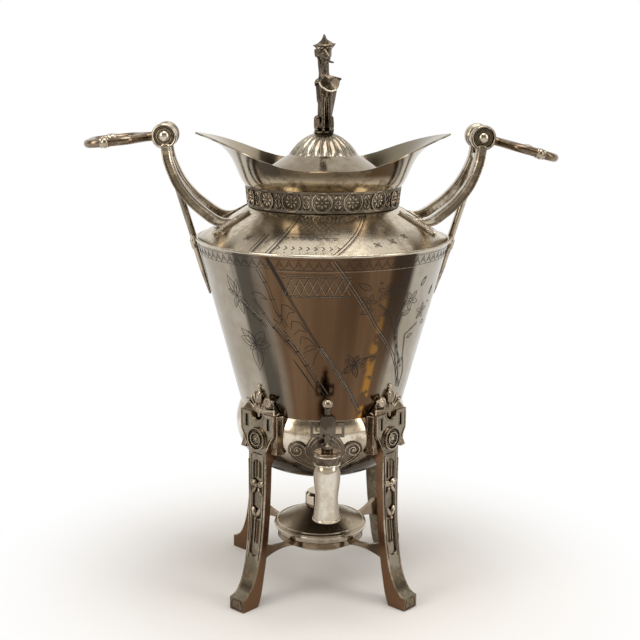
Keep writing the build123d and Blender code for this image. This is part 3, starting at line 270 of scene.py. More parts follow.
def paint_world():
    """A room for mirrors, an even fill for soft light, and white for the camera."""
    world = bpy.data.worlds.new("room")
    world.use_nodes = True
    world.node_tree.nodes.clear()
    tree = Tree(world.node_tree)
    direct, mirrored = ray_kinds(tree)
    # In a world, this node's first output is the way that a ray goes.
    back, up = tree.axes(tree.node("ShaderNodeTexCoord"))[1:]
    front = tree.blend(up.band(*window_heights), room_front, room_window)
    walls = tree.blend(back.ramp(*front_to_back), front, room_pale)
    seen = tree.blend(up.ramp(*ceiling_heights), walls, room_pale)
    mirror = tree.node("ShaderNodeBackground", inputs=[seen, 1.0])
    soft = tree.node("ShaderNodeBackground", inputs=[fill_colour, fill_light])
    white = tree.node("ShaderNodeBackground", inputs=[pure_white, 1.0])
    lit = tree.node("ShaderNodeMixShader", inputs=[mirrored, soft, mirror])
    both = tree.node("ShaderNodeMixShader", inputs=[direct, lit, white])
    tree.node("ShaderNodeOutputWorld", inputs=[both])
    scene.world = world


def soft_box(name, place, width, height, watts, colour):
    """A rectangular lamp that points at the urn."""
    lamp = bpy.data.lights.new(name, "AREA")
    lamp.shape = "RECTANGLE"
    lamp.size = width
    lamp.size_y = height
    lamp.energy = watts
    lamp.color = colour
    made = bpy.data.objects.new(name, lamp)
    made.location = place
    made.rotation_euler = (lamp_target - Vector(place)).to_track_quat("-Z", "Y").to_euler()
    scene.collection.objects.link(made)


paint_world()
soft_box("soft_box_left", (-1.3, -0.9, 0.95), 0.7, 1.3, 11, (1.0, 0.97, 0.93))
soft_box("soft_box_right", (1.35, -0.75, 0.85), 0.6, 1.3, 8, (1.0, 0.97, 0.94))
soft_box("soft_box_top", (0.1, -0.2, 1.7), 1.2, 0.8, 12, (1.0, 0.98, 0.96))
print("lamps", [lamp.name for lamp in bpy.data.lights])

# %% [markdown]
# ## Old silver
# Silver plate that is polished by hand is bright where the cloth reaches and brown to black where it does
# not. Three things make that here: a slow cloud of tarnish, darkening in recesses, which is tarnish and
# painted shade, and fine hairline scratches that roughen the shine. Each finish begins with its clouds, is
# stained place by place, and is closed with its scratches, so one small class holds these steps.

# %% A silver while it is painted
coarse_share = 0.72
scratch_scale = (900.0, 900.0, 60.0)
scratch_depth = 0.0006


class Plating:
    """One finish in the making. Its clouds of tarnish mix two tints, and cloud is their size in metres."""

    def __init__(self, name, bright, warm, cloud, drift=(0.43, 0.57)):
        self.material, self.tree = new_material(name)
        self.place = self.tree.place()
        self.x, self.y, self.z = self.tree.axes(self.place)
        self.fine = self.tree.noise(self.place, 9 / cloud, 4.0)
        coarse = self.tree.noise(self.place, 1 / cloud, 5.0)
        self.cloudy = coarse * coarse_share + self.fine * (1 - coarse_share)
        self.tint = self.tree.blend(self.cloudy.ramp(*drift), bright, warm)

    def stain(self, mask, colour):
        """Lay a colour over the tint where the mask is one."""
        self.tint = self.tree.blend(mask, self.tint, colour)

    def close(self, clean, tarnished, scratched=0.06, edge=0.0):
        """Add scratches that run round the piece, and edges rounded a little, as casting and polishing leave
        them. Clean and tarnished are the roughness of each, and scratched is what a scratch adds."""
        tree = self.tree
        hair = tree.node("ShaderNodeMapping", inputs={"Vector": self.place, "Scale": scratch_scale})
        lines = tree.noise(hair, 1.0, 2.0)
        dull = self.cloudy.ramp(0.35, 0.70, clean, tarnished) + lines.ramp(0.55, 0.8) * scratched
        relief = {"Strength": 0.06, "Distance": scratch_depth, "Height": lines * 0.4 + self.fine * 0.6}
        if edge:
            relief["Normal"] = tree.node("ShaderNodeBevel", {"samples": 4}, {"Radius": edge})
        bump = tree.node("ShaderNodeBump", inputs=relief)
        shine = {"Base Color": self.tint, "Metallic": 1.0, "Roughness": dull, "Normal": bump}
        metal = tree.node("ShaderNodeBsdfPrincipled", inputs=shine)
        tree.node("ShaderNodeOutputMaterial", inputs=[metal])
        return self.material


# %% The common recipe
silver_black = (0.025, 0.018, 0.012)
dark_reflection_brown = (0.06, 0.043, 0.028)


def silver(
    name, bright, warm, cloud, roughness, recess=0.0, edge=0.0005, dark=silver_black, dark_reflection_below=None, sides=None
):
    """A tarnished silver. Recess is how far the hollows darken, with tarnish in them and painted shade, and
    edge is how round the edges are. The pair of heights darkens all below the first: a painted dark
    reflection. Sides is a tint for faces that look neither toward the urn's axis nor away from it: painted
    shade and reflection."""
    paint = Plating(name, bright, warm, cloud)
    tree = paint.tree
    # Darker below a height: a painted dark reflection.
    if dark_reflection_below:
        drifted = paint.z + (paint.fine - 0.5) * 0.012
        paint.stain(drifted.ramp(*dark_reflection_below, 1.0, 0.0), dark_reflection_brown)
    # Faces that look sideways get a darker tint: painted shade and reflection.
    if sides:
        flat = tree.vector(paint.x, paint.y, 0.0)
        spoke = tree.node("ShaderNodeVectorMath", {"operation": "NORMALIZE"}, [flat])
        turned = tree.node("ShaderNodeVectorMath", {"operation": "CROSS_PRODUCT"}, [spoke, tree.facing()])
        sideways = abs(tree.axes(turned)[2])
        paint.stain(sideways.ramp(0.40, 0.85) * paint.cloudy.ramp(0.35, 0.65, 0.95, 0.72), sides)
    # Darker hollows: tarnish in them, and painted shade.
    if recess:
        settings = {"samples": 6, "only_local": True}
        open_sky = tree.node("ShaderNodeAmbientOcclusion", settings, {"Distance": recess}, "AO")
        paint.stain((1 - open_sky).ramp(0.10, 0.62), dark)
    return paint.close(roughness * 0.75, roughness * 1.45, edge=edge)


# %% Every silver of the urn
# Each row has the bright tint, the warm one, the size of the clouds, the roughness, and where they are
# needed the reach of the darkened hollows, which is tarnish and painted shade, and the rounding of the
# edges, in metres.
silver_rows = {
    "shoulder_silver": ((0.62, 0.545, 0.425), (0.38, 0.325, 0.24), 0.035, 0.17, 0.0, 0.0),
    "bowl_silver_painted_reflection": ((0.80, 0.70, 0.56), (0.42, 0.34, 0.24), 0.03, 0.16, 0.0, 0.0),
    "polished_silver": ((0.56, 0.49, 0.385), (0.29, 0.235, 0.165), 0.05, 0.12, 0.006),
    "flange_silver": ((0.36, 0.31, 0.24), (0.26, 0.215, 0.155), 0.05, 0.1, 0.004),
    "dome_silver": ((0.40, 0.36, 0.285), (0.20, 0.165, 0.12), 0.03, 0.12, 0.007),
    "tap_silver": ((0.62, 0.555, 0.455), (0.46, 0.395, 0.305), 0.03, 0.15, 0.004),
    "spout_silver": ((0.70, 0.635, 0.53), (0.56, 0.48, 0.37), 0.03, 0.15, 0.004),
    "leg_silver": ((0.27, 0.23, 0.17), (0.16, 0.13, 0.09), 0.025, 0.17, 0.005, 0.001),
    "lamp_silver": ((0.40, 0.33, 0.235), (0.27, 0.21, 0.14), 0.03, 0.3, 0.003),
    "cast_silver": ((0.29, 0.225, 0.16), (0.15, 0.105, 0.068), 0.025, 0.16, 0.005, 0.0008),
    "bracket_silver": ((0.50, 0.43, 0.33), (0.25, 0.205, 0.15), 0.03, 0.16, 0.0018, 0.0004),
    "bright_casting": ((0.46, 0.385, 0.29), (0.25, 0.195, 0.135), 0.02, 0.15, 0.0024),
    "old_casting": ((0.17, 0.14, 0.105), (0.085, 0.066, 0.045), 0.015, 0.16, 0.004),
    "dark_casting": ((0.15, 0.12, 0.09), (0.075, 0.057, 0.04), 0.015, 0.2, 0.004),
    "bare_fittings": ((0.30, 0.235, 0.16), (0.092, 0.045, 0.019), 0.02, 0.32, 0.003),
    "stamped_ground": ((0.17, 0.14, 0.10), (0.095, 0.075, 0.055), 0.02, 0.35, 0.003),
    "lit_line": ((0.50, 0.43, 0.33), (0.40, 0.33, 0.24), 0.02, 0.3),
}
# A painted dark reflection low on the bowl, painted side shade on the spout and legs, castings' hollows.
silver_extras = {
    "bowl_silver_painted_reflection": {"dark_reflection_below": (0.112, 0.143)},
    "spout_silver": {"sides": (0.30, 0.235, 0.16)},
    "leg_silver": {"sides": (0.165, 0.08, 0.038)},
    "bright_casting": {"dark": (0.04, 0.03, 0.022)},
}
finishes = {name: silver(name, *row, **silver_extras.get(name, {})) for name, row in silver_rows.items()}
print("silvers", len(finishes))

# %% [markdown]
# ## Silver with painted reflections by place
# The collar and the wall are large, and their colour has a map of its own: it follows the angle round the
# urn and the height. Beside brown tarnish it holds painted reflections and painted shade: the dark and
# bright bands that a polished sheet shows of the room, and on the wall a gold-coloured glint. Each stain is
# a mask of smooth steps, moved about a little by noise so that no edge is straight. The back repeats the
# front.

# %% Collar's and wall's silver
def round_the_urn(paint):
    """Which half a point lies in (1 in front, -1 behind), and its angle from that half's middle."""
    side = (0.0 - paint.y).maths("SIGN")
    return side, (paint.x * side).maths("ARCTAN2", side * paint.y * -1.0)


def collar_silver():
    """The collar: brighter along its foot, brown above it, with two dark patches and paler sides that are
    painted reflections, and inside paler at the left than at the right, painted light and shade."""
    paint = Plating("collar_silver", (0.14, 0.10, 0.06), (0.085, 0.06, 0.036), 0.04)
    tree, x = paint.tree, paint.x
    around = round_the_urn(paint)[1]
    drifted = around + (paint.fine - 0.5) * 0.5
    # Two dark patches, left and right of the front: painted reflections.
    paint.stain(drifted.band(-0.92, -0.80, -0.56, -0.44) * 0.9, (0.055, 0.043, 0.03))
    paint.stain(drifted.band(0.40, 0.52, 0.78, 0.90) * 0.9, (0.075, 0.043, 0.018))
    # Paler toward the sides: a painted reflection of the bright room.
    paint.stain(abs(around).ramp(0.80, 1.02), (0.42, 0.37, 0.29))
    foot = paint.z.ramp(0.3305, 0.3385, 1.0, 0.0) * paint.fine.ramp(0.36, 0.52, 0.45, 1.0)
    paint.stain(foot, (0.42, 0.34, 0.235))
    # Inside, paler at the left than at the right and with a dark streak: painted light and shade.
    flat = tree.vector(x, paint.y, 0.0)
    dot_product = {"operation": "DOT_PRODUCT"}
    outwardness = tree.node("ShaderNodeVectorMath", dot_product, [flat, tree.facing()], "Value")
    inside = tree.blend(x.ramp(-0.02, 0.03), (0.38, 0.325, 0.24), (0.20, 0.17, 0.12))
    inside = tree.blend(x.band(-0.052, -0.048, -0.03, -0.01) * 0.9, inside, (0.09, 0.07, 0.045))
    paint.stain(outwardness < 0.0, inside)
    return paint.close(0.10, 0.18)


def wall_silver():
    """The wall: bright at the sides, brown tarnish in front, and painted reflections and shade laid over it.
    """
    paint = Plating("wall_silver_painted_reflections", (0.40, 0.357, 0.29), (0.32, 0.272, 0.205), 0.07, (0.40, 0.60))
    tree = paint.tree
    side, around = round_the_urn(paint)
    up = paint.z.ramp(0.15, 0.28)
    drift = tree.noise(tree.vector(around * 5.0, paint.z * 2.5, side), 1.3, 3.0) - 0.5
    left = around + drift * 0.18 + (up - 0.5) * 0.15
    right = around + drift * 0.18 - (up - 0.5) * 0.10
    # A nearly black stripe at the left: a painted reflection.
    paint.stain(left.band(-0.80, -0.70, -0.60, -0.44) * 0.9, (0.048, 0.040, 0.029))
    # The broad front: brown tarnish and a painted brown reflection.
    brown_tarnish_and_painted_reflection = tree.blend(drift.ramp(-0.14, 0.16), (0.092, 0.045, 0.019), (0.140, 0.078, 0.038))
    paint.stain(left.ramp(-0.62, -0.40) * (1 - right.ramp(0.60, 0.74)) * 0.95, brown_tarnish_and_painted_reflection)
    # Painted shade right of the middle, stronger toward the top, and darker painted shade nearer the right
    # edge.
    paint.stain((right.ramp(0.0, 0.08) - right.ramp(0.18, 0.30)) * up * 0.6, (0.05, 0.027, 0.014))
    paint.stain(right.band(0.40, 0.54, 0.66, 0.76) * up.ramp(0.0, 1.0, 0.3, 0.98), (0.035, 0.021, 0.012))
    # A gold-coloured painted glint low at the right.
    painted_gold_glint = right.band(0.38, 0.46, 0.50, 0.56) * (1 - up) * paint.fine.ramp(0.44, 0.54)
    paint.stain(painted_gold_glint, (0.36, 0.17, 0.035))
    return paint.close(0.12, 0.24, scratched=0.05)


finishes["collar_silver"] = collar_silver()
finishes["wall_silver_painted_reflections"] = wall_silver()
print("collar and wall painted")


# %% Cotton of the wick
def cotton_material():
    """Cotton yarn: matt, off-white, twisted, and scorched at its top."""
    material, tree = new_material("cotton_wick")
    x, y, z = tree.axes(tree.place())
    strand = (y.maths("ARCTAN2", x) * 4.0 + z * 2600.0).maths("SINE")
    tint = tree.blend(strand.ramp(-1.0, 1.0), (0.62, 0.56, 0.46), (0.86, 0.82, 0.74))
    tint = tree.blend(z.ramp(0.066, 0.071), tint, (0.03, 0.025, 0.02))
    bump = tree.node("ShaderNodeBump", inputs={"Strength": 0.5, "Distance": 0.0004, "Height": strand})
    yarn = {"Base Color": tint, "Roughness": 0.9, "Normal": bump}
    tree.node("ShaderNodeOutputMaterial", inputs=[tree.node("ShaderNodeBsdfPrincipled", inputs=yarn)])
    return material


finishes["cotton_wick"] = cotton_material()
print("cotton painted")

# %% [markdown]
# ## Which finish goes where
# A imported solid takes the finish that its material slot names, unless it has one of its own below: hands
# reach some places of the urn more than others, and those have tarnished in another way, while the wall, the
# collar, the bowl, the spout and the legs carry painted reflections and painted shade in their colour.

# %% Finishes of the imported solids
finish_of_node = {
    "body_wall": "wall_silver_painted_reflections",
    "neck_band": "stamped_ground",
    "collar": "collar_silver",
    "bowl": "bowl_silver_painted_reflection",
    "tap_body": "spout_silver",
    "lamp_top": "lamp_silver",
    "shoulder": "shoulder_silver",
    "shoulder_wire": "tap_silver",
    "lid_flange": "flange_silver",
    "tap_key": "dark_casting",
    "tap_plate": "dark_casting",
}
packed = frame["record"]["subparts"]
finish_of_node |= {row["node"]: "leg_silver" for row in packed if row["node"].startswith("leg_")}
for row in packed:
    name = finish_of_node.get(row["node"], row["material_slot"])
    slots = frame["nodes"][row["node"]].data.materials
    for place in range(len(slots)):
        slots[place] = finishes[name]
print("finishes", sorted(finishes))

# %% [markdown]
# ## Pieces
# A piece rides on a body of the frame, has a material slot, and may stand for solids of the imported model.
# Modifiers are applied first, so that what is handed over is a plain mesh with its faces outward.

# %% Helpers for pieces
def settle(piece, body, stands_for=()):
    """Give a finished piece its body, and hide the nodes of the frame that it stands for."""
    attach(piece, body)
    if stands_for:
        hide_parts(*stands_for)


def in_metres(points):
    return [tuple(value * MM for value in point) for point in points]


def apply_modifiers(piece):
    """Apply the piece's modifiers, so that a plain mesh is left."""
    bpy.context.view_layer.update()
    graph = bpy.context.evaluated_depsgraph_get()
    mesh = bpy.data.meshes.new_from_object(piece.evaluated_get(graph))
    mesh.name = piece.name
    piece.modifiers.clear()
    piece.data = mesh


def dress(piece, finish, sharp):
    """Turn a piece's faces outward, shade it smooth but for its sharp edges, and give it its finish."""
    work = bmesh.new()
    work.from_mesh(piece.data)
    bmesh.ops.recalc_face_normals(work, faces=work.faces)
    work.to_mesh(piece.data)
    work.free()
    piece.data.shade_smooth()
    if sharp:
        piece.data.set_sharp_from_angle(angle=radians(sharp))
    piece.data.materials.clear()
    piece.data.materials.append(finishes[finish])


def grown(source, tree, values, finish, sharp):
    """Run a geometry tree over a source mesh and keep the result as a plain mesh."""
    values = values | {"Material": finishes[finish]}
    rule = source.modifiers.new(tree.name, "NODES")
    rule.node_group = tree
    for item in tree.interface.items_tree:
        if item.item_type == "SOCKET" and item.in_out == "INPUT" and item.name in values:
            rule[item.identifier] = values[item.name]
    apply_modifiers(source)
    dress(source, finish, sharp)
    return source


# %% [markdown]
# ## A tree for things that repeat round the urn
# An engraver works on a flat pattern that is laid round the cone. The tree does the same: it copies a flat
# drawing side by side, then wraps every point. Across becomes an angle, up becomes the way along the sheet,
# and what stands proud of the paper stands proud of the metal.

# %% Geometry tree: repeat and wrap
FLOAT, WHOLE, STUFF = "NodeSocketFloat", "NodeSocketInt", "NodeSocketMaterial"


def geometry_tree(name, inputs):
    """A geometry node group with its sockets. It returns the group, its tree and its inputs by name."""
    group = bpy.data.node_groups.new(name, "GeometryNodeTree")
    group.interface.new_socket("Geometry", in_out="INPUT", socket_type="NodeSocketGeometry")
    for label, kind, value in inputs:
        socket = group.interface.new_socket(label, in_out="INPUT", socket_type=kind)
        if value is not None:
            socket.default_value = value
    group.interface.new_socket("Geometry", in_out="OUTPUT", socket_type="NodeSocketGeometry")
    tree = Tree(group)
    start = tree.node("NodeGroupInput")
    return group, tree, {label: start.other(label) for label, *_ in inputs} | {"Geometry": start}


def on_circle(tree, given, angle, radius, height):
    """The place at an angle round the axis, counted from the front."""
    round_x = radius * angle.maths("SINE")
    round_y = given["Axis Y"] - radius * angle.maths("COSINE")
    return tree.vector(round_x, round_y, height)


def finish_tree(tree, made, material):
    """The last two nodes of each geometry tree: its material, then its output."""
    dressed = tree.node("GeometryNodeSetMaterial", inputs={"Geometry": made, "Material": material})
    tree.node("NodeGroupOutput", inputs=[dressed])


def wrapping_tree():
    inputs = [
        ("Count", WHOLE, 1),
        ("Pitch", FLOAT, 0.01),
        ("Start", FLOAT, 0.0),
        ("Drawing Radius", FLOAT, 0.08),
        ("Foot Radius", FLOAT, 0.08),
        ("Foot Height", FLOAT, 0.1),
        ("Lean", FLOAT, 0.0),
        ("Axis Y", FLOAT, 0.0),
        ("Material", STUFF, None),
    ]
    group, tree, given = geometry_tree("repeat_and_wrap", inputs)
    step = tree.vector(given["Pitch"], 0.0, 0.0)
    first = tree.vector(given["Start"], 0.0, 0.0)
    line = {"Count": given["Count"], "Start Location": first, "Offset": step}
    row = tree.node("GeometryNodeMeshLine", inputs=line)
    copies = tree.node("GeometryNodeInstanceOnPoints", inputs={"Points": row, "Instance": given["Geometry"]})
    real = tree.node("GeometryNodeRealizeInstances", inputs=[copies])
    across, proud, along = tree.axes(tree.node("GeometryNodeInputPosition"))
    lean_in, lean_up = given["Lean"].maths("SINE"), given["Lean"].maths("COSINE")
    radius = given["Foot Radius"] + along * lean_in + proud * lean_up
    height = given["Foot Height"] + along * lean_up - proud * lean_in
    wrapped = on_circle(tree, given, across / given["Drawing Radius"], radius, height)
    moved = tree.node("GeometryNodeSetPosition", inputs={"Geometry": real, "Position": wrapped})
    finish_tree(tree, moved, given["Material"])
    return group


repeat_and_wrap = wrapping_tree()
print("tree", repeat_and_wrap.name, "has", len(repeat_and_wrap.nodes), "nodes")

# %% [markdown]
# ## A tree for turned pieces
# A lathe turns an outline into a round piece. The source mesh is the outline: x is the radius, z the height,
# and y how deep the flutes go there. A grid has one column for each step round the axis, and each of its
# points is looked up in the outline and swung to its angle.

# %% Geometry tree: turn on the lathe
same_point = 0.000002
rounding_guard = 0.0001


def turning_tree():
    inputs = [
        ("Steps", WHOLE, 128),
        ("Flutes", WHOLE, 0),
        ("Roundness", FLOAT, 0.8),
        ("Axis Y", FLOAT, 0.0),
        ("Material", STUFF, None),
    ]
    group, tree, given = geometry_tree("turn_on_lathe", inputs)
    points = tree.node("GeometryNodeAttributeDomainSize", inputs=[given["Geometry"]])
    size = {"Vertices X": given["Steps"] + 1, "Vertices Y": points}
    sheet = tree.node("GeometryNodeMeshGrid", inputs=size)
    index = tree.node("GeometryNodeInputIndex")
    column = (index / points + rounding_guard).maths("FLOOR")
    angle = column / given["Steps"] * (2 * pi)
    settings = {"data_type": "FLOAT_VECTOR", "domain": "POINT"}
    asked = {
        "Geometry": given["Geometry"],
        "Value": tree.node("GeometryNodeInputPosition"),
        "Index": index - column * points,
    }
    outline, depth, height = tree.axes(tree.node("GeometryNodeSampleIndex", settings, asked))
    lobe = abs((angle * given["Flutes"] / 2).maths("COSINE")) ** given["Roundness"]
    turned = on_circle(tree, given, angle, outline - depth * (1 - lobe), height)
    moved = tree.node("GeometryNodeSetPosition", inputs={"Geometry": sheet, "Position": turned})
    closed = tree.node("GeometryNodeMergeByDistance", inputs={"Geometry": moved, "Distance": same_point})
    finish_tree(tree, closed, given["Material"])
    return group


turn_on_lathe = turning_tree()
print("tree", turn_on_lathe.name, "has", len(turn_on_lathe.nodes), "nodes")


def turned_piece(name, outline, finish, steps, flutes=0, roundness=0.8, axis_y=0.0, sharp=40):
    """Turn a closed outline of (radius, height) or (radius, height, flute depth), in millimetres."""
    corners = [(radius, depth[0] if depth else 0.0, height) for radius, height, *depth in outline]
    values = {"Steps": steps, "Flutes": flutes, "Roundness": roundness, "Axis Y": axis_y * MM}
    return grown(plain_mesh(name, in_metres(corners), []), turn_on_lathe, values, finish, sharp)


# %% [markdown]
# ## Drawing flat ornament
# All ornament is built from three marks. A stroke is a ridge along a path, or stands for a cut line when it
# hardly rises. A boss is a small oval dome, used for petals, leaves and beads. A ring is a stroke on a
# circle.

# %% Helpers for paths
def swung(x, z, radius, turn):
    """The point at a distance from (x, z), at a turn in degrees from straight up to the right."""
    return x + radius * sin(radians(turn)), z + radius * cos(radians(turn))


def left_of(along):
    """Unit vectors square to flat directions, on their left."""
    along = along / np.maximum(np.hypot(*along.T), 1e-9)[:, None]
    return np.stack([-along[:, 1], along[:, 0]], 1)


def walked(path):
    """How far along a path each of its points lies."""
    return np.concatenate([[0], np.cumsum(np.hypot(*np.diff(path, axis=0).T))])


def along_path(path, marks, places):
    """Points between a path's own, at places that are counted in its marks."""
    return np.stack([np.interp(places, marks, path[:, axis]) for axis in (0, 1)], 1)


def skin(rows, columns, closed=False):
    """Faces with four corners between rows of points. Each row is a ring of so many columns."""
    faces = []
    for here in range(rows if closed else rows - 1):
        low, high = here * columns, (here + 1) % rows * columns
        for side in range(columns):
            after = (side + 1) % columns
            faces.append((low + side, low + after, high + after, high + side))
    return faces


# %% Flat ornament
flat_top = 0.6


class Relief:
    """Marks on flat paper, in millimetres: x across, y how far it stands proud, z up. Broad is how much wider
    each stroke is than its own width says."""

    def __init__(self, broad=1.0):
        self.corners = []
        self.faces = []
        self.broad = broad

    def add(self, corners, faces):
        start = len(self.corners)
        self.corners += [tuple(corner) for corner in corners]
        self.faces += [[start + index for index in face] for face in faces]

    def stroke(self, points, half=0.16, rise=0.05, sink=0.25, step=3.0, taper=0.0, closed=False):
        """A ridge along points, with a flat top and sloping sides. Taper thins its two ends."""
        path = np.array(points + points[:1] if closed else points, float)
        fine = [path[0]]
        for start, end in zip(path, path[1:]):
            count = max(1, ceil(hypot(*(end - start)) / step))
            fine += [start + (end - start) * part / count for part in range(1, count + 1)]
        path = np.array(fine[:-1] if closed else fine)
        along = np.roll(path, -1, 0) - np.roll(path, 1, 0) if closed else np.gradient(path, axis=0)
        share = np.linspace(0, 1, len(path))
        width = half * self.broad * (1 - taper + taper * np.sin(pi * share) ** 0.7)[:, None]
        aside = left_of(along) * width
        rows = []
        for side, proud in ((-1, -sink), (-flat_top, rise), (flat_top, rise), (1, -sink)):
            spot = path + aside * side
            rows.append(np.stack([spot[:, 0], np.full(len(spot), proud), spot[:, 1]], 1))
        faces = skin(len(path), 4, closed)
        if not closed:
            last = 4 * (len(path) - 1)
            faces += [(3, 2, 1, 0), (last, last + 1, last + 2, last + 3)]
        self.add(np.stack(rows, 1).reshape(-1, 3), faces)

    def ring(self, x, z, radius, half=0.5, rise=0.8, parts=32, sink=0.4):
        points = [swung(x, z, radius, 360 * part / parts) for part in range(parts)]
        self.stroke(points, half, rise, sink, step=9.0, closed=True)

    def boss(self, x, z, wide, tall, rise, turn=0.0, parts=12, sink=0.4, rows=3):
        """An oval dome. The turn is in degrees, and leans its top to the right."""
        corners = []
        lean = radians(turn)
        climb = [pi / 2 * row / rows for row in range(rows)]
        levels = [(1.0, -sink)] + [(cos(angle), rise * sin(angle)) for angle in climb]
        for size, proud in levels:
            for part in range(parts):
                angle = 2 * pi * part / parts
                across, up = wide * size * cos(angle), tall * size * sin(angle)
                spot = (x + across * cos(lean) + up * sin(lean), z - across * sin(lean) + up * cos(lean))
                corners.append((spot[0], proud, spot[1]))
        corners.append((x, rise, z))
        faces = skin(len(levels), parts)
        top = (len(levels) - 1) * parts
        faces += [(top + part, top + (part + 1) % parts, top + parts) for part in range(parts)]
        faces.append(tuple(range(parts))[::-1])
        self.add(corners, faces)

    def petals(self, x, z, count, middle, wide, tall, rise, first=0.0):
        """Bosses in a ring round a point, each with its long side outward."""
        for petal in range(count):
            turn = first + 360 * petal / count
            self.boss(*swung(x, z, middle, turn), wide, tall, rise, turn, parts=8, rows=2)

    def flat(self, name):
        """The drawing as an object in metres, still flat."""
        return plain_mesh(name, in_metres(self.corners), self.faces)

    def placed(self, name, where, finish):
        """The drawing with each point (x, proud, z) put in its place by a function, in millimetres."""
        made = plain_mesh(name, in_metres(where(*corner) for corner in self.corners), self.faces)
        dress(made, finish, 50)
        return made


def wrapped(name, drawing, surface, finish, count=1, pitch=0.0, start=0.0, axis_y=0.0, sharp=50):
    """Repeat a flat drawing and wrap it round a cone (foot radius, foot height, drawing radius, lean)."""
    foot_radius, foot_height, drawing_radius, lean = surface
    values = {
        "Count": count,
        "Pitch": pitch * MM,
        "Start": start * MM,
        "Drawing Radius": drawing_radius * MM,
        "Foot Radius": foot_radius * MM,
        "Foot Height": foot_height * MM,
        "Lean": lean,
        "Axis Y": axis_y * MM,
    }
    return grown(drawing.flat(name), repeat_and_wrap, values, finish, sharp)


# %% [markdown]
# ## Neck band
# Between two plain borders runs a stamped band: sixteen wheels of eight petals in a double ring, and between
# them crossed leaves. The ground is black with tarnish, and only the tops are rubbed bright.

# %% Neck band
wheel_count = 16
neck_radius = 60.0
shoulder_top = (58.0, 309.5)
neck_surface = (*shoulder_top, neck_radius, atan2(1.75, 16.5))
neck_turn = radians(-3.5) * neck_radius
wheel_pitch = 2 * pi * neck_radius / wheel_count
wheel_height = 8.3
band = Relief()
band.ring(0, wheel_height, 7.3, 0.55, 1.35)
band.ring(0, wheel_height, 6.1, 0.25, 0.9)
band.petals(0, wheel_height, 8, 3.7, 0.95, 2.0, 1.0)
band.boss(0, wheel_height, 0.9, 0.9, 1.3, parts=8)
for side in (-1, 1):
    between = side * wheel_pitch / 2
    start, end = between - side * 2.6, between - side * 0.4
    for up in (-1, 1):
        band.boss(between - side * 1.6, wheel_height + up * 3.6, 0.75, 2.3, 1.0, side * up * 30, parts=8)
        band.boss(between - side * 3.0, wheel_height + up * 5.6, 0.6, 1.5, 0.9, side * up * 60, parts=8)
        band.stroke([(start, wheel_height + up * 1.6), (end, wheel_height - up * 1.6)], 0.3, 1.0)
wheels = wrapped("neck_wheels", band, neck_surface, "bright_casting", wheel_count, wheel_pitch, neck_turn)
settle(wheels, "urn")
print("neck band", len(wheels.data.polygons), "faces")

# %% [markdown]
# ## Engraving
# The wall is cut with a fashionable pattern of its time: a frieze of triangles under the edge, a panel of
# crossed zigzags, bamboo canes, jagged leaves and two slanting ribbons. The drawing is made once, on flat
# paper whose width is measured at a radius of 80 mm, and is laid round the urn twice. A cut line is dark,
# because polish and tarnish stay in it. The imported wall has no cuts, so each stroke is a thin dark thread
# that stands about a tenth of a millimetre proud of it, or less.

# %% Cut lines
drawing_radius = 80.0
half_way_round = pi * drawing_radius
wall_foot = (64.7, 153.0)
wall_top = (99.0, 284.0)
shoulder_run, shoulder_rise = wall_top[0] - shoulder_top[0], shoulder_top[1] - wall_top[1]
wall_surface = (*wall_foot, drawing_radius, atan2(wall_top[0] - wall_foot[0], wall_top[1] - wall_foot[1]))
shoulder_surface = (*wall_top, drawing_radius, -atan2(shoulder_run, shoulder_rise))


def cut_material():
    material, tree = new_material("cut_line")
    metal = {"Base Color": (0.022, 0.014, 0.009, 1.0), "Metallic": 0.6, "Roughness": 0.55}
    shader = tree.node("ShaderNodeBsdfPrincipled", inputs=metal)
    tree.node("ShaderNodeOutputMaterial", inputs=[shader])
    return material


finishes["cut_line"] = cut_material()


def leaf(drawing, x, z, length, turn, wide=0.24, half=0.2):
    """The outline of a pointed leaf with its middle rib, from its foot at (x, z). The turn leans it right."""
    ahead = np.array(swung(0, 0, 1, turn))
    aside = np.array([ahead[1], -ahead[0]])
    foot = np.array([x, z], float)
    share = np.linspace(0, 1, 9)
    for side in (-1, 1):
        bulge = side * wide * length * np.sin(pi * share ** 0.8)
        drawing.stroke([foot + ahead * length * s + aside * b for s, b in zip(share, bulge)], half, taper=0.5)
    drawing.stroke([foot, foot + ahead * length * 0.8], half * 0.6, taper=0.8)


def ribbon(drawing, points, gap, half=0.22):
    """Two parallel lines."""
    path = np.array(points, float)
    aside = left_of(np.gradient(path, axis=0)) * gap / 2
    drawing.stroke(path + aside, half)
    drawing.stroke(path - aside, half)


def dashes(drawing, points, spacing, length, half, turn):
    """Short thick cuts along a path, all at one angle in degrees."""
    path = np.array(points, float)
    reach = walked(path)
    dx, dz = swung(0, 0, length / 2, turn)
    for x, z in along_path(path, reach, np.arange(0, reach[-1], spacing)):
        drawing.stroke([(x - dx, z - dz), (x + dx, z + dz)], half, 0.08)


def cane(drawing, points, gap=1.6, half=0.16, knots=3):
    """A bamboo cane: a narrow ribbon with a cross cut at each knot."""
    ribbon(drawing, points, gap, half)
    places = np.arange(1, knots + 1) / (knots + 1) * (len(points) - 1)
    for x, z in along_path(np.array(points, float), range(len(points)), places):
        drawing.stroke([(x - gap * 0.7, z - 0.5), (x + gap * 0.7, z + 0.5)], half * 1.6, 0.08)


def blossom(drawing, x, z, size, petals=5, first=0.0):
    """An open flower: pointed petals round a small ring."""
    for petal in range(petals):
        turn = first + 360 * petal / petals
        leaf(drawing, *swung(x, z, size * 0.2, turn), size * 0.8, turn, 0.28)
    drawing.ring(x, z, size * 0.16, 0.2, 0.06, parts=10, sink=0.2)


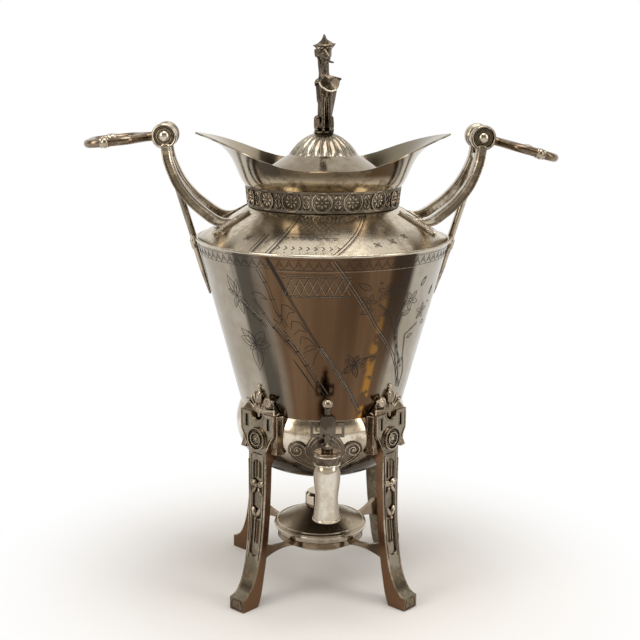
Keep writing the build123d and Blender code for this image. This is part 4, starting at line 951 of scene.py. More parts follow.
def engrave(name, drawing, surface, finish="cut_line", count=2, pitch=half_way_round):
    """Lay a drawing round the urn, as often as it repeats."""
    settle(wrapped(name, drawing, surface, finish, count, pitch), "urn")


print("wall leans", round(wall_surface[3], 3), "rad out, shoulder", round(shoulder_surface[3], 3), "rad")


# %% [markdown]
# ## The wall's drawing
# Its points are millimetres on the flat paper: x from the middle of the front, z up from the wall's foot.
# The bands come first, then the canes and ribbons that slant across them, then leaves and flowers in the
# gaps. Beside some cuts lies a painted highlight, a pale line where light catches the cut's edge, and these
# make a second, brighter drawing.

# %% The wall's zigzags and bands
zigzag_low, zigzag_high = 105.4, 118.0
zigzag = list(zip(np.linspace(-28.3, 13.6, 9), [zigzag_high, zigzag_low] * 5))
crossing = [(x, zigzag_low + zigzag_high - z) for x, z in zigzag]
wall = Relief(broad=1.9)
for line in (zigzag, crossing):
    wall.stroke(line, 0.22)
for height in (119.6, 118.6, 104.2, 103.4):
    wall.stroke([(-28.6, height), (14.0, height)], 0.18)
for height in (121.2, 123.8):
    wall.stroke([(-30.0, height), (4.0, height)], 0.14)
print("bands", len(wall.faces), "faces in the flat drawing")

# %% The wall's ribbons and canes
dashes(wall, [(-37.2, 132.1), (-26.4, 105.1)], 1.7, 2.6, 0.55, 20)
dashes(wall, [(-26.4, 105.1), (-11.9, 74.4), (-4.8, 61.7)], 1.6, 1.6, 0.32, 30)
wall.stroke([(-38.6, 132.1), (-27.6, 104.8), (-13.0, 74.1), (-6.0, 61.6)], 0.16)
ribbon(wall, [(-5.0, 62.0), (8.0, 42.0), (30.4, 7.8)], 2.6, 0.45)
ribbon(wall, [(-4.4, 62.4), (8.8, 42.6), (31.2, 8.4)], 0.7, 0.3)
ribbon(wall, [(3.0, 131.4), (16.4, 108.3), (35.0, 78.1), (56.0, 52.9), (76.5, 21.5)], 2.0, 0.26)
cane(wall, [(-45.0, 123.4), (-39.6, 110.0), (-34.6, 90.0), (-28.4, 77.9)], 2.0)
cane(wall, [(-38.4, 78.7), (-26.1, 64.4), (-20.0, 54.6), (-9.2, 36.3), (0.1, 22.1)], 2.4, 0.3, 4)
cane(wall, [(-51.4, 98.7), (-38.6, 76.9), (-23.3, 56.3)], 1.4)
cane(wall, [(-62.9, 95.2), (-43.9, 77.2)], 2.2, 0.2)
cane(wall, [(-31.4, 75.0), (-20.6, 58.6), (-7.0, 36.0), (3.0, 21.0)], 1.0, 0.2)
wall.stroke([(-26.2, 52.3), (-8.4, 24.9)], 0.45, taper=0.7)
for points in (
    [(79.6, 74.6), (65.6, 67.1), (70.2, 48.5), (78.2, 32.6), (77.2, 20.4)],
    [(56.7, 87.0), (54.6, 74.5), (60.5, 55.0), (71.3, 38.8)],
    [(34.8, 96.2), (44.0, 88.8), (53.8, 69.1), (65.6, 44.6), (74.0, 24.0)],
    [(58.0, 96.0), (52.5, 84.0), (54.0, 68.0), (62.0, 44.0), (72.5, 22.0)],
):
    ribbon(wall, points, 1.1, 0.2)
print("with ribbons and canes", len(wall.faces), "faces")

# %% The wall's leaves and flowers
for points in (
    [(-32.2, 84.0), (-31.4, 90.3), (-30.8, 96.7), (-27.0, 96.1), (-22.0, 91.1), (-26.5, 90.0), (-28.4, 84.5)],
    [(-25.7, 76.3), (-24.8, 83.7), (-19.4, 83.1), (-14.2, 75.2), (-19.8, 76.6), (-23.8, 72.4)],
    [(-19.4, 64.9), (-18.7, 71.3), (-13.6, 69.8), (-8.1, 63.5), (-13.0, 64.2), (-17.0, 60.8)],
    [(-17.8, 57.5), (-10.6, 61.2), (-4.8, 62.6), (-8.8, 55.0), (-11.0, 47.0)],
    [(-52.4, 101.5), (-50.2, 104.8), (-45.0, 104.0), (-41.0, 99.2), (-46.0, 100.6)],
    [(-37.0, 94.0), (-34.6, 88.6), (-31.0, 85.2), (-33.6, 80.4), (-38.2, 84.4)],
):
    wall.stroke(points, 0.24, taper=0.4)
for turn, length in (
    (182, 22), (312, 17), (285, 16), (38, 16), (62, 12), (130, 11), (330, 12), (85, 14), (235, 9),
):
    leaf(wall, -57.0, 60.5, length, turn)
for turn, length in ((340, 17), (10, 14), (165, 15), (200, 11), (125, 12), (300, 9)):
    leaf(wall, -66.5, 99.0, length, turn, 0.18)
blossom(wall, 21.5, 46.5, 9.5, 5, 20)
for turn, length in ((238, 12), (332, 11), (12, 9), (160, 11), (62, 13)):
    leaf(wall, 21.5, 46.5, length, turn, 0.20, 0.26)
wall.stroke([(23.0, 47.0), (30.0, 51.5), (34.3, 53.2), (40.0, 52.0)], 0.25)
for x, z, size, first in (
    (40.0, 105.0, 8.0, 10), (63.0, 96.0, 8.5, 35), (81.0, 84.0, 7.5, 0), (27.0, 99.0, 6.5, 25),
):
    blossom(wall, x, z, size, 5, first)
for x, z, length, turn in (
    (44.5, 106.5, 11, 62), (44.5, 106.5, 10, 110), (56.0, 112.0, 9, 320), (28.0, 108.5, 11, 300),
    (31.0, 92.5, 10, 250), (71.0, 106.0, 9, 30), (88.0, 96.0, 8, 15), (86.0, 74.0, 9, 100),
    (58.0, 84.0, 9, 60), (69.0, 64.0, 8, 75), (71.5, 47.0, 8, 240),
):
    leaf(wall, x, z, length, turn, 0.2, 0.24)
for x, z in ((34.5, 113.0), (50.0, 111.0), (46.0, 79.0), (74.0, 112.0), (90.0, 90.0)):
    wall.stroke([(x - 0.8, z), (x + 0.8, z + 0.4)], 0.5, 0.08)
engrave("wall_engraving", wall, wall_surface)
print("the whole wall", len(wall.faces), "faces")

# %% Painted highlights beside the cuts
lit = Relief()
for line in (zigzag, crossing):
    lit.stroke([(x + 0.2, z - 0.6) for x, z in line], 0.12, 0.09)
for low, high, height in ((-28.6, 14.0, 103.8), (-28.6, 14.0, 119.1), (-31.0, 60.0, 123.4)):
    lit.stroke([(low, height), (high, height)], 0.13, 0.09)
for shift in (-1.9, 0.1, 1.2):
    lit.stroke([(x + shift, z) for x, z in ((-5.0, 62.4), (8.0, 42.4), (30.4, 8.2))], 0.13, 0.09)
lit.stroke([(-36.6, 79.4), (-24.4, 65.2), (-18.3, 55.4), (-7.5, 37.1), (1.8, 22.9)], 0.13, 0.09)
lit.stroke([(-61.2, 95.9), (-42.2, 77.9)], 0.16, 0.09)
slanting = [(3.0, 131.4), (16.4, 108.3), (35.0, 78.1), (56.0, 52.9)]
for shift in (-1.6, 0.5):
    lit.stroke([(x + shift, z) for x, z in slanting], 0.1, 0.08)
engrave("wall_engraving_lit", lit, wall_surface, "lit_line")
print("bright edges", len(lit.faces), "faces")

# %% The frieze under the edge
frieze_count = 84
frieze_pitch = 2 * half_way_round / frieze_count
frieze = Relief(broad=1.7)
for side in (-0.5, 0.5):
    frieze.stroke([(side * frieze_pitch, 125.0), (0.0, 131.4)], 0.16)
frieze.stroke([(-0.22 * frieze_pitch, 126.6), (0.0, 129.4), (0.22 * frieze_pitch, 126.6)], 0.16)
for height in (124.6, 132.3):
    frieze.stroke([(-0.5 * frieze_pitch, height), (0.5 * frieze_pitch, height)], 0.14)
engrave("frieze_engraving", frieze, wall_surface, count=frieze_count, pitch=frieze_pitch)
print("frieze", frieze_count, "triangles")

# %% The shoulder's drawing
shoulder = Relief(broad=1.8)
for low, high in (((-37.7, 1.1), (-26.8, 48.0)), ((2.8, 0.7), (39.2, 47.5)), ((-49.4, 0.9), (-46.8, 22.8))):
    ribbon(shoulder, [low, high], 2.2, 0.3)
    ribbon(shoulder, [(low[0] + 2.2, low[1]), (high[0] + 2.2, high[1])], 0.8, 0.16)
for step in range(6):
    x = -26.0 + step * 4.6
    shoulder.stroke([(x, 42.0), (x + 12.0, 27.5)], 0.2)
    shoulder.stroke([(x + 12.0, 42.0), (x, 27.5)], 0.16)
for step in range(9):
    x = -33.0 + step * 4.8
    shoulder.stroke([(x, 10.4), (x + 1.7, 8.4), (x, 6.4)], 0.32, 0.08)
    shoulder.boss(x + 1.0, 3.6, 0.5, 0.5, 0.12, parts=8, rows=1, sink=0.2)
for step in range(7):
    x = -31.0 + step * 5.8
    leaf(shoulder, x, 18.6, 3.4, 70, 0.35, 0.2)
    shoulder.stroke([(x - 0.9, 21.0), (x + 0.9, 20.2)], 0.35, 0.08)
for step in range(5):
    leaf(shoulder, -43.0 + step * 2.2, 12.0 + step * 4.5, 6.0, 20 + 12 * step, 0.2, 0.18)
shoulder.stroke([(-36.0, 24.4), (8.0, 24.4)], 0.14)
for x, z in ((33.0, 11.5), (45.7, 14.1), (60.0, 18.0), (-60.0, 16.0)):
    blossom(shoulder, x, z, 3.4, 4, 45)
engrave("shoulder_engraving", shoulder, shoulder_surface)
print("shoulder", len(shoulder.faces), "faces in the flat drawing")

# %% [markdown]
# ## Lid's dome
# The dome is raised with twenty gadroons, convex lobes that part in narrow dark grooves. They are low
# at the figure's feet and fullest at the rim, where each one ends in a round toe.

# %% Gadrooned dome
gadroons = 20
steps_a_gadroon = 14
groove_depth = 2.3
dome_curve = [(27.0, 348.2), (22.8, 355.5), (15.0, 364.5), (2.0, 366.0)]
dome_inside = [(1.9, 363.0), (9.0, 360.5), (15.5, 354.5), (21.0, 348.4)]


def bezier(points, share):
    """The point of a curve with four control points, at a share of its way."""
    a, b, c, d = (np.array(point, float) for point in points)
    rest = 1 - share
    return a * rest ** 3 + 3 * b * rest ** 2 * share + 3 * c * rest * share ** 2 + d * share ** 3


dome_outline = [(21.0, 348.4), (25.4, 348.0, 0.8)]
for share in np.linspace(0, 1, 22):
    radius, height = bezier(dome_curve, share)
    dome_outline.append((radius, height, groove_depth * min(1.0, radius / 24) * min(1.0, 0.45 + share * 5)))
dome_outline += dome_inside
dome = turned_piece(
    "gadrooned_dome", dome_outline, "dome_silver",
    steps=gadroons * steps_a_gadroon, flutes=gadroons, roundness=0.6, sharp=0,
)
settle(dome, "lid", ["lid_dome"])
print("dome", len(dome.data.polygons), "faces")

# %% [markdown]
# ## Collar
# The collar is spun as a funnel, and its rim is then cut with shears: low over the front and the back, high
# in two points over the handles, in one smooth sweep. The rim's plan is drawn here as one curve, and at each
# step round the urn the sheet's section is carried up to that cut and no farther.

# %% Collar with its cut rim
flare_points = np.array([(58.95, 324.5), (65.05, 334.0), (71.75, 348.0), (80.25, 357.0), (100.1, 365.0)])
rim_plan = [(0.0, 68.0), (31.0, 68.0), (76.5, 42.0), (98.6, 0.0)]
steps_a_quarter = 49
climb_steps = 26
collar_half_sheet = 0.75
lip_round = 0.6
reach = walked(flare_points)
fine_reach = np.linspace(0, reach[-1], 300)
flare = np.stack([np.polyval(np.polyfit(reach, flare_points[:, axis], 4), fine_reach) for axis in (0, 1)], 1)
flare_marks = range(len(flare))
flare_out = -left_of(np.gradient(flare, axis=0))


def rim_round_the_urn():
    """The rim's plan for a quarter, mirrored to the left and then to the back."""
    quarter = np.array([bezier(rim_plan, share) for share in np.linspace(1, 0, steps_a_quarter)])
    front = np.concatenate([quarter, (quarter * (-1, 1))[::-1][1:]])
    return np.concatenate([front, (front * (1, -1))[::-1][1:-1]])


def collar_section(rim_radius):
    """Up the outside, over the lip and down the inside, as (radius, height)."""
    last = np.searchsorted(flare[:, 0], rim_radius)
    places = np.linspace(0, 1, climb_steps) * min(last, len(flare) - 1)
    middle = along_path(flare, flare_marks, places)
    out = along_path(flare_out, flare_marks, places) * collar_half_sheet
    lip = middle[-1:] + out[-1:, ::-1] * (-lip_round, lip_round)
    return np.concatenate([middle + out, lip, (middle - out)[::-1]])


rim = rim_round_the_urn()
corners = []
for x, y in rim:
    rim_radius = hypot(x, y)
    for radius, height in collar_section(rim_radius):
        corners.append((x / rim_radius * radius, y / rim_radius * radius, height))
faces = skin(len(rim), len(corners) // len(rim), closed=True)
collar = plain_mesh("collar_cut", in_metres(corners), faces)
dress(collar, "collar_silver", 35)
settle(collar, "urn", ["collar"])
rim_heights = [flare[np.searchsorted(flare[:, 0], rim_plan[0][1]), 1], max(height for *_, height in corners)]
print("collar rim", np.round(rim_heights, 1))

# %% [markdown]
# ## Ornament on the legs
# Each leg's head is a flat face with a raised border that follows the notch, and carries a rosette: a raised
# rim, a ring of beads, a second ring, inner beads and a boss. Down the shaft run fine flutes, a tied bow
# and a pair of leaves.

# %% Where a leg's ornament goes
leg_azimuths = {"front_left": 225, "front_right": 315, "back_right": 45, "back_left": 135}
leg_face = 73.0
toe_face = 96.0
head_top = 156.0
leg_front_curve = [(leg_face, 115.0), (leg_face, 55.2), (78.1, 12.0), (toe_face, 10.0)]
leg_front = np.array([bezier(leg_front_curve, share) for share in np.linspace(1, 0, 60)])


def outward(azimuth):
    """From leg coordinates (sideways, outward, up) to the urn's, for the leg at an azimuth."""
    turn = radians(azimuth)
    return Matrix(
        ((-sin(turn), cos(turn), 0, 0), (cos(turn), sin(turn), 0, 0), (0, 0, 1, 0), (0, 0, 0, 1))
    )


def on_leg(azimuth, face=None):
    """A placing function for ornament that lies on the leg's front, or at a face's distance."""
    turn = radians(azimuth)

    def where(x, proud, z):
        reach = proud + (face if face else float(np.interp(z, leg_front[:, 1], leg_front[:, 0])))
        return reach * cos(turn) - x * sin(turn), reach * sin(turn) + x * cos(turn), z

    return where


print("leg's front runs from", leg_front[0], "to", leg_front[-1])

# %% Leg ornament
rosette_height = 135.0
rosette = Relief()
rosette.boss(0, rosette_height, 9.3, 9.3, 1.2, parts=36, sink=0.6, rows=4)
rosette.ring(0, rosette_height, 8.5, 0.75, 2.4, parts=40)
rosette.petals(0, rosette_height, 22, 6.75, 0.55, 0.9, 2.0)
rosette.ring(0, rosette_height, 5.0, 0.6, 2.5, parts=32)
rosette.petals(0, rosette_height, 12, 3.55, 0.5, 0.65, 2.2)
rosette.boss(0, rosette_height, 2.1, 2.1, 2.8, parts=16, rows=4)

notch_radius = 6.9
notch = [swung(0, head_top, notch_radius, 180 - turn) for turn in range(-82, 83, 12)]
head_edge = [(-9.6, 127.0), (-12.6, 132.6), (-16.4, 139.4), (-17.2, 141.0), (-17.2, 155.1), (-6.9, 155.1)]
head_edge += notch + [(-x, z) for x, z in reversed(head_edge)]
leg_relief = Relief()
leg_relief.stroke(head_edge, 0.6, 0.55, step=4.0)
for x in (-13.3, -9.7, 9.7, 13.3):
    leg_relief.stroke([(x, 142.6), (x, 153.2)], 0.28, 0.3)
for side in (-1, 1):
    leg_relief.stroke([(side * 6.7, 121.5), (side * 5.6, 38.0)], 0.55, 0.7, step=4.0)
    leg_relief.stroke([(side * 1.9, 117.0), (side * 1.9, 103.0)], 0.4, 0.1, sink=1.6, step=4.0)
    leg_relief.boss(side * 3.9, 98.6, 4.1, 2.9, 2.0, side * -28)
    leg_relief.boss(side * 3.2, 92.8, 1.5, 4.3, 1.6, side * -32)
    leg_relief.boss(side * 2.5, 75.4, 1.9, 4.6, 1.9, side * 30)
    leg_relief.stroke([(side * 1.2, 68.5), (side * 1.2, 50.0)], 0.35, 0.1, sink=1.6, step=4.0)
    # The last stroke runs down each edge of the shaft: a bright ridge that is a painted highlight.
    heights = (117, 100, 80, 60, 45, 34, 26, 20, 16, 13, 11.5)
    leg_relief.stroke([(side * (9.0 - (118 - z) * 0.0235), z) for z in heights], 0.7, 0.6)
leg_relief.boss(0, 97.2, 1.7, 1.9, 2.6)
leg_relief.boss(0, 70.6, 1.2, 1.6, 2.2)

toe = Relief()
toe.stroke([(-5.4, 1.4), (-6.0, 5.4), (-4.0, 8.8), (4.0, 8.8), (6.0, 5.4), (5.4, 1.4)], 0.5, 0.5, closed=True)
toe.boss(0, 4.9, 1.7, 1.7, 0.8)
# A dark strip across the leg, just under the head's border, is a painted shadow.
slot_shadow = Relief()
slot_shadow.stroke([(-5.0, 123.0), (5.0, 123.0)], 0.7, 0.12)
for corner, azimuth in leg_azimuths.items():
    made = rosette.placed(f"beaded_rosette_{corner}", on_leg(azimuth, leg_face), "bright_casting")
    settle(made, "urn", [f"rosette_{corner}"])
    for part, drawing, face, finish in (
        ("leg_relief", leg_relief, None, "bright_casting"),
        ("toe_panel", toe, toe_face, "cast_silver"),
        ("leg_slot_shadow", slot_shadow, None, "cut_line"),
    ):
        made = drawing.placed(f"{part}_{corner}", on_leg(azimuth, face), finish)
        settle(made, "urn")
print("leg ornament", len(leg_relief.faces) + len(rosette.faces), "faces on each leg")

# %% [markdown]
# ## Tap and its plate
# The plate behind the tap lies on the bowl like a second skin. It has an arch over the pipe and a volute on
# each side, all drawn with a doubled raised line. The tap's neck has a band of crosses between two beads.

# %% Plate behind the tap
bowl_widest = 137.0
plate_thick = 1.75
plate_middle = 130.0
volute_out = 21.5


def bowl_radius(height):
    """The bowl's outer radius at a height: one arc above its widest place, another below."""
    middle, arc = (32.92, 35.58) if height > bowl_widest else (30.0, 38.5)
    return middle + sqrt(arc ** 2 - (height - bowl_widest) ** 2)


def on_bowl(x, proud, z):
    """Lay ornament on the plate, straight from the front."""
    radius = bowl_radius(z) + plate_thick + proud
    return x, -sqrt(radius ** 2 - x ** 2), z


def volute(turn):
    """A point of the right volute, which winds inward from a turn of -70 degrees to about 480."""
    return swung(volute_out, plate_middle, 6.2 - 4.6 * (turn + 70) / 550, turn)


plate = Relief()
for radius, half in ((14.0, 0.75), (11.4, 0.4)):
    plate.stroke([swung(0, plate_middle, radius, turn) for turn in range(-74, 75, 8)], half, 0.9)
for side in (-1, 1):
    spiral = [volute(turn) for turn in range(-70, 480, 20)]
    plate.stroke([(side * x, z) for x, z in spiral], 0.65, 0.9, step=2.0)
    plate.boss(side * volute_out, plate_middle, 1.6, 1.6, 1.4)
    for inset, half in ((0.0, 0.7), (2.4, 0.4)):
        lower = [(27.4 - inset, 127.4), (25.2 - inset, 123.6 + inset * 0.3), (16.0 - inset, 117.4)]
        lower.append((7.4, 113.0 + inset))
        plate.stroke([(side * x, z) for x, z in lower], half, 0.8)
    plate.stroke([(side * 12.6, 124.5), (side * 15.2, 128.6), (side * 15.0, 133.2)], 0.45, 0.7)
settle(plate.placed("plate_volutes", on_bowl, "bright_casting"), "urn")
print("plate", len(plate.faces), "faces")

# %% Band, beads and knob of the tap
tap_axis = -95.0
neck_of_tap = 9.0
cross_count = 9
cross_pitch = 2 * pi * neck_of_tap / cross_count
crosses = Relief()
for foot, head in ((0.9, 4.9), (4.9, 0.9)):
    crosses.stroke([(-0.42 * cross_pitch, foot), (0.42 * cross_pitch, head)], 0.32, 0.35, step=1.0)
crosses.boss(0.5 * cross_pitch, 2.9, 0.5, 0.5, 0.5, parts=8, rows=2)
tap_surface = (9.2, 130.4, neck_of_tap, 0.0)
tap_band = wrapped(
    "tap_band", crosses, tap_surface, "cast_silver", cross_count, cross_pitch, axis_y=tap_axis, sharp=40
)
settle(tap_band, "urn")


def bead_outline(radius, height, size):
    """A small half-round moulding for the lathe, as a closed outline."""
    turns = [pi * part / 6 for part in range(7)]
    curve = [(radius + size * sin(turn), height - size * cos(turn)) for turn in turns]
    foot, head = (radius - size, height - size), (radius - size, height + size)
    return [foot, *curve, head, foot]


for name, radius, height, size, axis_y, body in (
    ("tap_bead_low", 9.5, 129.5, 0.75, tap_axis, "urn"),
    ("tap_bead_high", 9.6, 136.2, 0.6, tap_axis, "urn"),
    ("tap_lip_bead", 9.8, 87.0, 0.75, tap_axis, "urn"),
    ("lamp_rolled_rim", 37.1, 46.5, 0.9, 0.0, "lamp"),
    ("lamp_cone_line", 35.6, 49.6, 0.45, 0.0, "lamp"),
):
    bead = turned_piece(name, bead_outline(radius, height, size), "tap_silver", 96, axis_y=axis_y)
    settle(bead, body)
knob_radius, knob_height = 3.95, 175.0
knob_turns = np.linspace(0, pi, 19)
knob_outline = [(knob_radius * sin(turn), knob_height - knob_radius * cos(turn)) for turn in knob_turns]
knob = turned_piece("key_knob", knob_outline, "bright_casting", 48, axis_y=tap_axis)
settle(knob, "tap_handle")
sleeve_outline = [(8.4, 130.2), (9.15, 130.2), (9.25, 135.7), (8.4, 135.7), (8.4, 130.2)]
sleeve = turned_piece("tap_head_ground", sleeve_outline, "dark_casting", 64, axis_y=tap_axis)
settle(sleeve, "urn")
print("tap band", len(tap_band.data.polygons), "faces")

# %% [markdown]
# ## Cast figures
# The finial and the flowers are castings: soft, rounded forms that melt into each other. Each limb is the
# tight skin round a few balls (a convex hull). A voxel remesh joins the limbs, and smoothing melts them.

# %% Casting from balls
def skin_of_balls(shapes):
    """One bmesh with the convex hull of each shape, a list of (x, y, z, radius) in millimetres."""
    whole = bmesh.new()
    for shape in shapes:
        part = bmesh.new()
        for x, y, z, radius in shape:
            spot = Matrix.Translation((x * MM, y * MM, z * MM))
            bmesh.ops.create_icosphere(part, subdivisions=2, radius=radius * MM, matrix=spot)
        hull = bmesh.ops.convex_hull(part, input=part.verts)
        inside = hull["geom_interior"] + hull["geom_unused"]
        bmesh.ops.delete(part, geom=[g for g in inside if isinstance(g, bmesh.types.BMVert)], context="VERTS")
        spare = bpy.data.meshes.new("limb")
        part.to_mesh(spare)
        part.free()
        whole.from_mesh(spare)
        bpy.data.meshes.remove(spare)
    bmesh.ops.recalc_face_normals(whole, faces=whole.faces)
    return whole


def casting(name, shapes, finish, voxel, melt, place=Matrix.Identity(4)):
    """Melt hulls of balls into one skin, and put it in its place. Melt counts the rounds of smoothing."""
    made = plain_mesh(name, [], [])
    body = skin_of_balls(shapes)
    body.to_mesh(made.data)
    body.free()
    remesh = made.modifiers.new("remesh", "REMESH")
    remesh.mode = "VOXEL"
    remesh.voxel_size = voxel * MM
    remesh.use_smooth_shade = True
    smooth = made.modifiers.new("smooth", "SMOOTH")
    smooth.factor = 0.5
    smooth.iterations = melt
    apply_modifiers(made)
    made.data.transform(place)
    if place.is_negative:
        made.data.flip_normals()
    made.data.shade_smooth()
    made.data.materials.clear()
    made.data.materials.append(finishes[finish])
    return made


def chain(groups):
    """Hulls that join neighbouring groups of balls."""
    return [[*here, *there] for here, there in zip(groups, groups[1:])]


# %% [markdown]
# ## Handle brackets
# Each handle hangs on a cast bracket: two prongs that spread down to the shoulder and end there in pointed
# leaves, and a strut that runs on down the wall to a point. The eyes at the top are turned: a round rim, a
# dark recess and a small ring, with the pin's domed end in the middle.

# %% Prongs of a bracket
prong_curve = [
    (120.8, 356.0), (118.6, 343.5), (111.6, 327.5), (101.6, 314.8),
    (91.4, 306.0), (82.5, 300.2), (74.0, 299.2), (66.0, 302.0),
]
prong_half = (2.1, 2.4)
prong_edge = 1.7
ridge_lift, ridge_out, ridge_half = 2.95, 3.8, 0.85
leaf_edge = [(84.0, 20.8), (84.0, 31.6), (78.0, 32.4), (78.0, 20.4), (66.0, 24.0), (66.0, 29.4), (57.8, 27.2)]
leaf_top = [(82.0, 23.0), (82.0, 29.0), (68.0, 26.6)]
leaf_middle = 26.4


def smooth_path(points, parts=5):
    """A smooth curve through points."""
    path = np.array([points[0], *points, points[-1]], float)
    fine = []
    for a, b, c, d in zip(path, path[1:], path[2:], path[3:]):
        for s in np.arange(parts) / parts:
            bent = (2 * a - 5 * b + 4 * c - d) * s ** 2 + (3 * b - a - 3 * c + d) * s ** 3
            fine.append((2 * b + (c - a) * s + bent) / 2)
    return np.array(fine + [path[-1]])


def on_shoulder(x, y, up):
    """A point of the shoulder above (x, y), raised."""
    return x, y, shoulder_top[1] - (hypot(x, y) - shoulder_top[0]) * shoulder_rise / shoulder_run + up


def prong_shapes(side, face):
    """Balls for one prong: a square core that thins toward its foot, with two ridges on its face."""
    path = smooth_path(prong_curve)
    spread = np.interp(path[:, 1], [296.0, 351.0], [25.6, 14.05])
    core, low_ridge, high_ridge = [], [], []
    for (x, z), (left_x, left_z), y in zip(path, left_of(np.gradient(path, axis=0)), spread):
        size = float(np.interp(x, [66.0, 84.0], [0.4, 1.0]))
        lift, wide = prong_half[0] * size, prong_half[1] * size
        core.append([
            (side * (x + left_x * up), face * (y + part), z + left_z * up, prong_edge * size)
            for up in (-lift, lift) for part in (-wide, wide)
        ])
        for ridge, lift in ((high_ridge, ridge_lift * size), (low_ridge, -ridge_lift * size)):
            spot = (side * (x + left_x * lift), face * (y + ridge_out * size), z + left_z * lift)
            ridge.append([(*spot, ridge_half * size)])
    return chain(core) + chain(high_ridge) + chain(low_ridge)


def leaf_shapes(side, face):
    """Balls for the pointed leaf at a prong's foot: a thin sheet, a swelling, two raised edges, a knob."""
    shapes = [
        [(*on_shoulder(side * x, face * y, 0.5), 0.9) for x, y in leaf_edge],
        [(*on_shoulder(side * x, face * y, 1.0), 1.6) for x, y in leaf_top],
    ]
    for start in (21.0, 31.8):
        away = start - leaf_middle
        rim = [(83.6, start), (77.0, start + away * 0.1), (67.0, 26.8 + away * 0.5), (57.8, 27.2)]
        shapes += chain([[(*on_shoulder(side * x, face * y, 1.6), 0.95)] for x, y in rim])
    shapes.append([(*on_shoulder(side * 84.0, face * 31.6, 1.5), 1.7)])
    return shapes


def bracket_shapes(side):
    """Balls for the two prongs, their leaves on the shoulder and the bridge between them."""
    shapes = []
    for face in (-1, 1):
        shapes += prong_shapes(side, face) + leaf_shapes(side, face)
    bridge = [(x, y, z) for x in (118.6, 121.0) for y in (-13.0, 13.0) for z in (346.6, 349.4)]
    shapes.append([(side * x, y, z, 1.5) for x, y, z in bridge])
    return shapes


print("prong", len(smooth_path(prong_curve)), "points along its path")

# %% Strut of a bracket
strut_bar = [
    (119.8, 345.5, 2.6, 2.0), (101.6, 285.5, 2.6, 2.0), (100.4, 278.0, 2.2, 2.0), (94.9, 259.0, 1.9, 1.6),
]
strut_tip = (88.9, 0.0, 239.6, 1.0)


def strut_shapes(side):
    """Balls for the strut: a bar to the shoulder's edge, a knuckle there, and a tail that ends in a point."""
    groups = [[(x, part, z, size) for part in (-half, half)] for x, z, size, half in strut_bar]
    shapes = chain(groups + [[strut_tip]])
    for y in (-3.8, 3.8):
        shapes += chain([[(x, y, z, 0.8)] for x, z in ((120.6, 344.0), (102.8, 287.0))])
    shapes.append([(x, y, z, 1.9) for y in (-2.6, 2.6) for x, z in ((102.4, 281.6), (100.9, 276.2))])
    shapes.append([(102.2, y, 285.6, 1.3) for y in (-4.0, 4.0)])
    return [[(side * x, y, z, size) for x, y, z, size in shape] for shape in shapes]


# %% Outlines of the eyes, the pins and the handles' collars
pivot_x, pivot_z = 121.8, 363.0
droop = {"left": radians(6.0), "right": radians(15.0)}
eye_outline = [
    (0.0, 10.0), (8.8, 10.0), (9.5, 10.6), (9.7, 11.5), (9.7, 16.5), (9.5, 17.4),
    (9.1, 18.0), (8.6, 18.2), (8.1, 18.0), (7.7, 17.4), (7.5, 16.4), (7.2, 16.0),
    (6.1, 16.0), (5.9, 16.8), (5.5, 17.2), (5.1, 16.8), (4.9, 16.0), (0.0, 16.0),
]


def below(outline):
    """An outline's mirror image at negative heights, in the order that leads on to the outline."""
    return [(radius, -height) for radius, height in reversed(outline)]


pin_half = [(4.3 * sin(turn), 16.2 + 3.0 * cos(turn)) for turn in np.linspace(pi / 2, 0, 11)]
pin_outline = below(pin_half) + pin_half
barrel_half = [(6.4, 4.6), (8.3, 5.0), (9.0, 5.8), (9.2, 7.2), (9.0, 8.6), (8.3, 9.4), (0.0, 9.6)]
barrel_outline = below(barrel_half) + barrel_half
beads_half = [(2.9, 3.6), (3.7, 3.4), (4.0, 2.8), (3.6, 2.0), (3.6, 1.8), (4.1, 1.2), (4.25, 0.0)]
beads_outline = beads_half + below(beads_half) + beads_half[:1]
beads_out, beads_aside = 44.0, 23.34
bar_slant = (30.75, 3.0)
print("outlines: eye", len(eye_outline), "pin", len(pin_outline), "barrel", len(barrel_outline), "points")

# %% Brackets, pins and the handles' collars
for side, hand in ((-1, "left"), (1, "right")):
    bracket = casting(f"bracket_{hand}", bracket_shapes(side), "bracket_silver", 0.42, 2)
    settle(bracket, "urn", [f"{hand}_arm"])
    strut = casting(f"strut_{hand}", strut_shapes(side), "bracket_silver", 0.42, 2)
    settle(strut, "urn", [f"{hand}_strut"])
    centre = Matrix.Translation((side * pivot_x * MM, 0, pivot_z * MM))
    lying = centre @ Matrix.Rotation(pi / 2, 4, "X")
    for face, turn in (("front", pi / 2), ("back", -pi / 2)):
        eye = turned_piece(f"eye_{hand}_{face}", eye_outline, "bracket_silver", 64)
        eye.data.transform(centre @ Matrix.Rotation(turn, 4, "X"))
        settle(eye, "urn")
    pin = turned_piece(f"pin_{hand}", pin_outline, "tap_silver", 48)
    pin.data.transform(lying)
    settle(pin, "urn", [f"{hand}_handle_pin"])
    barrel = turned_piece(f"handle_barrel_{hand}", barrel_outline, "bracket_silver", 64)
    barrel.data.transform(lying)
    settle(barrel, f"{hand}_handle")
    hang = centre @ Matrix.Rotation(side * droop[hand], 4, "Y")
    for face, end in ((-1, "front"), (1, "back")):
        beads = turned_piece(f"handle_beads_{hand}_{end}", beads_outline, "bracket_silver", 48)
        aim = Vector((side * bar_slant[0], -face * bar_slant[1], 0)).to_track_quat("Z", "Y").to_matrix()
        spot = Matrix.Translation((side * beads_out * MM, face * beads_aside * MM, 0))
        beads.data.transform(hang @ spot @ aim.to_4x4())
        settle(beads, f"{hand}_handle")
print("bracket", len(bracket.data.polygons), "faces")

# %% [markdown]
# ## Finial
# The lid is lifted by a seated animal in a pointed, three-cornered hat. It turns its head to the right, has
# a goat's beard, and wears a stippled bib whose lower edge is rubbed bright. It is about 74 mm tall.

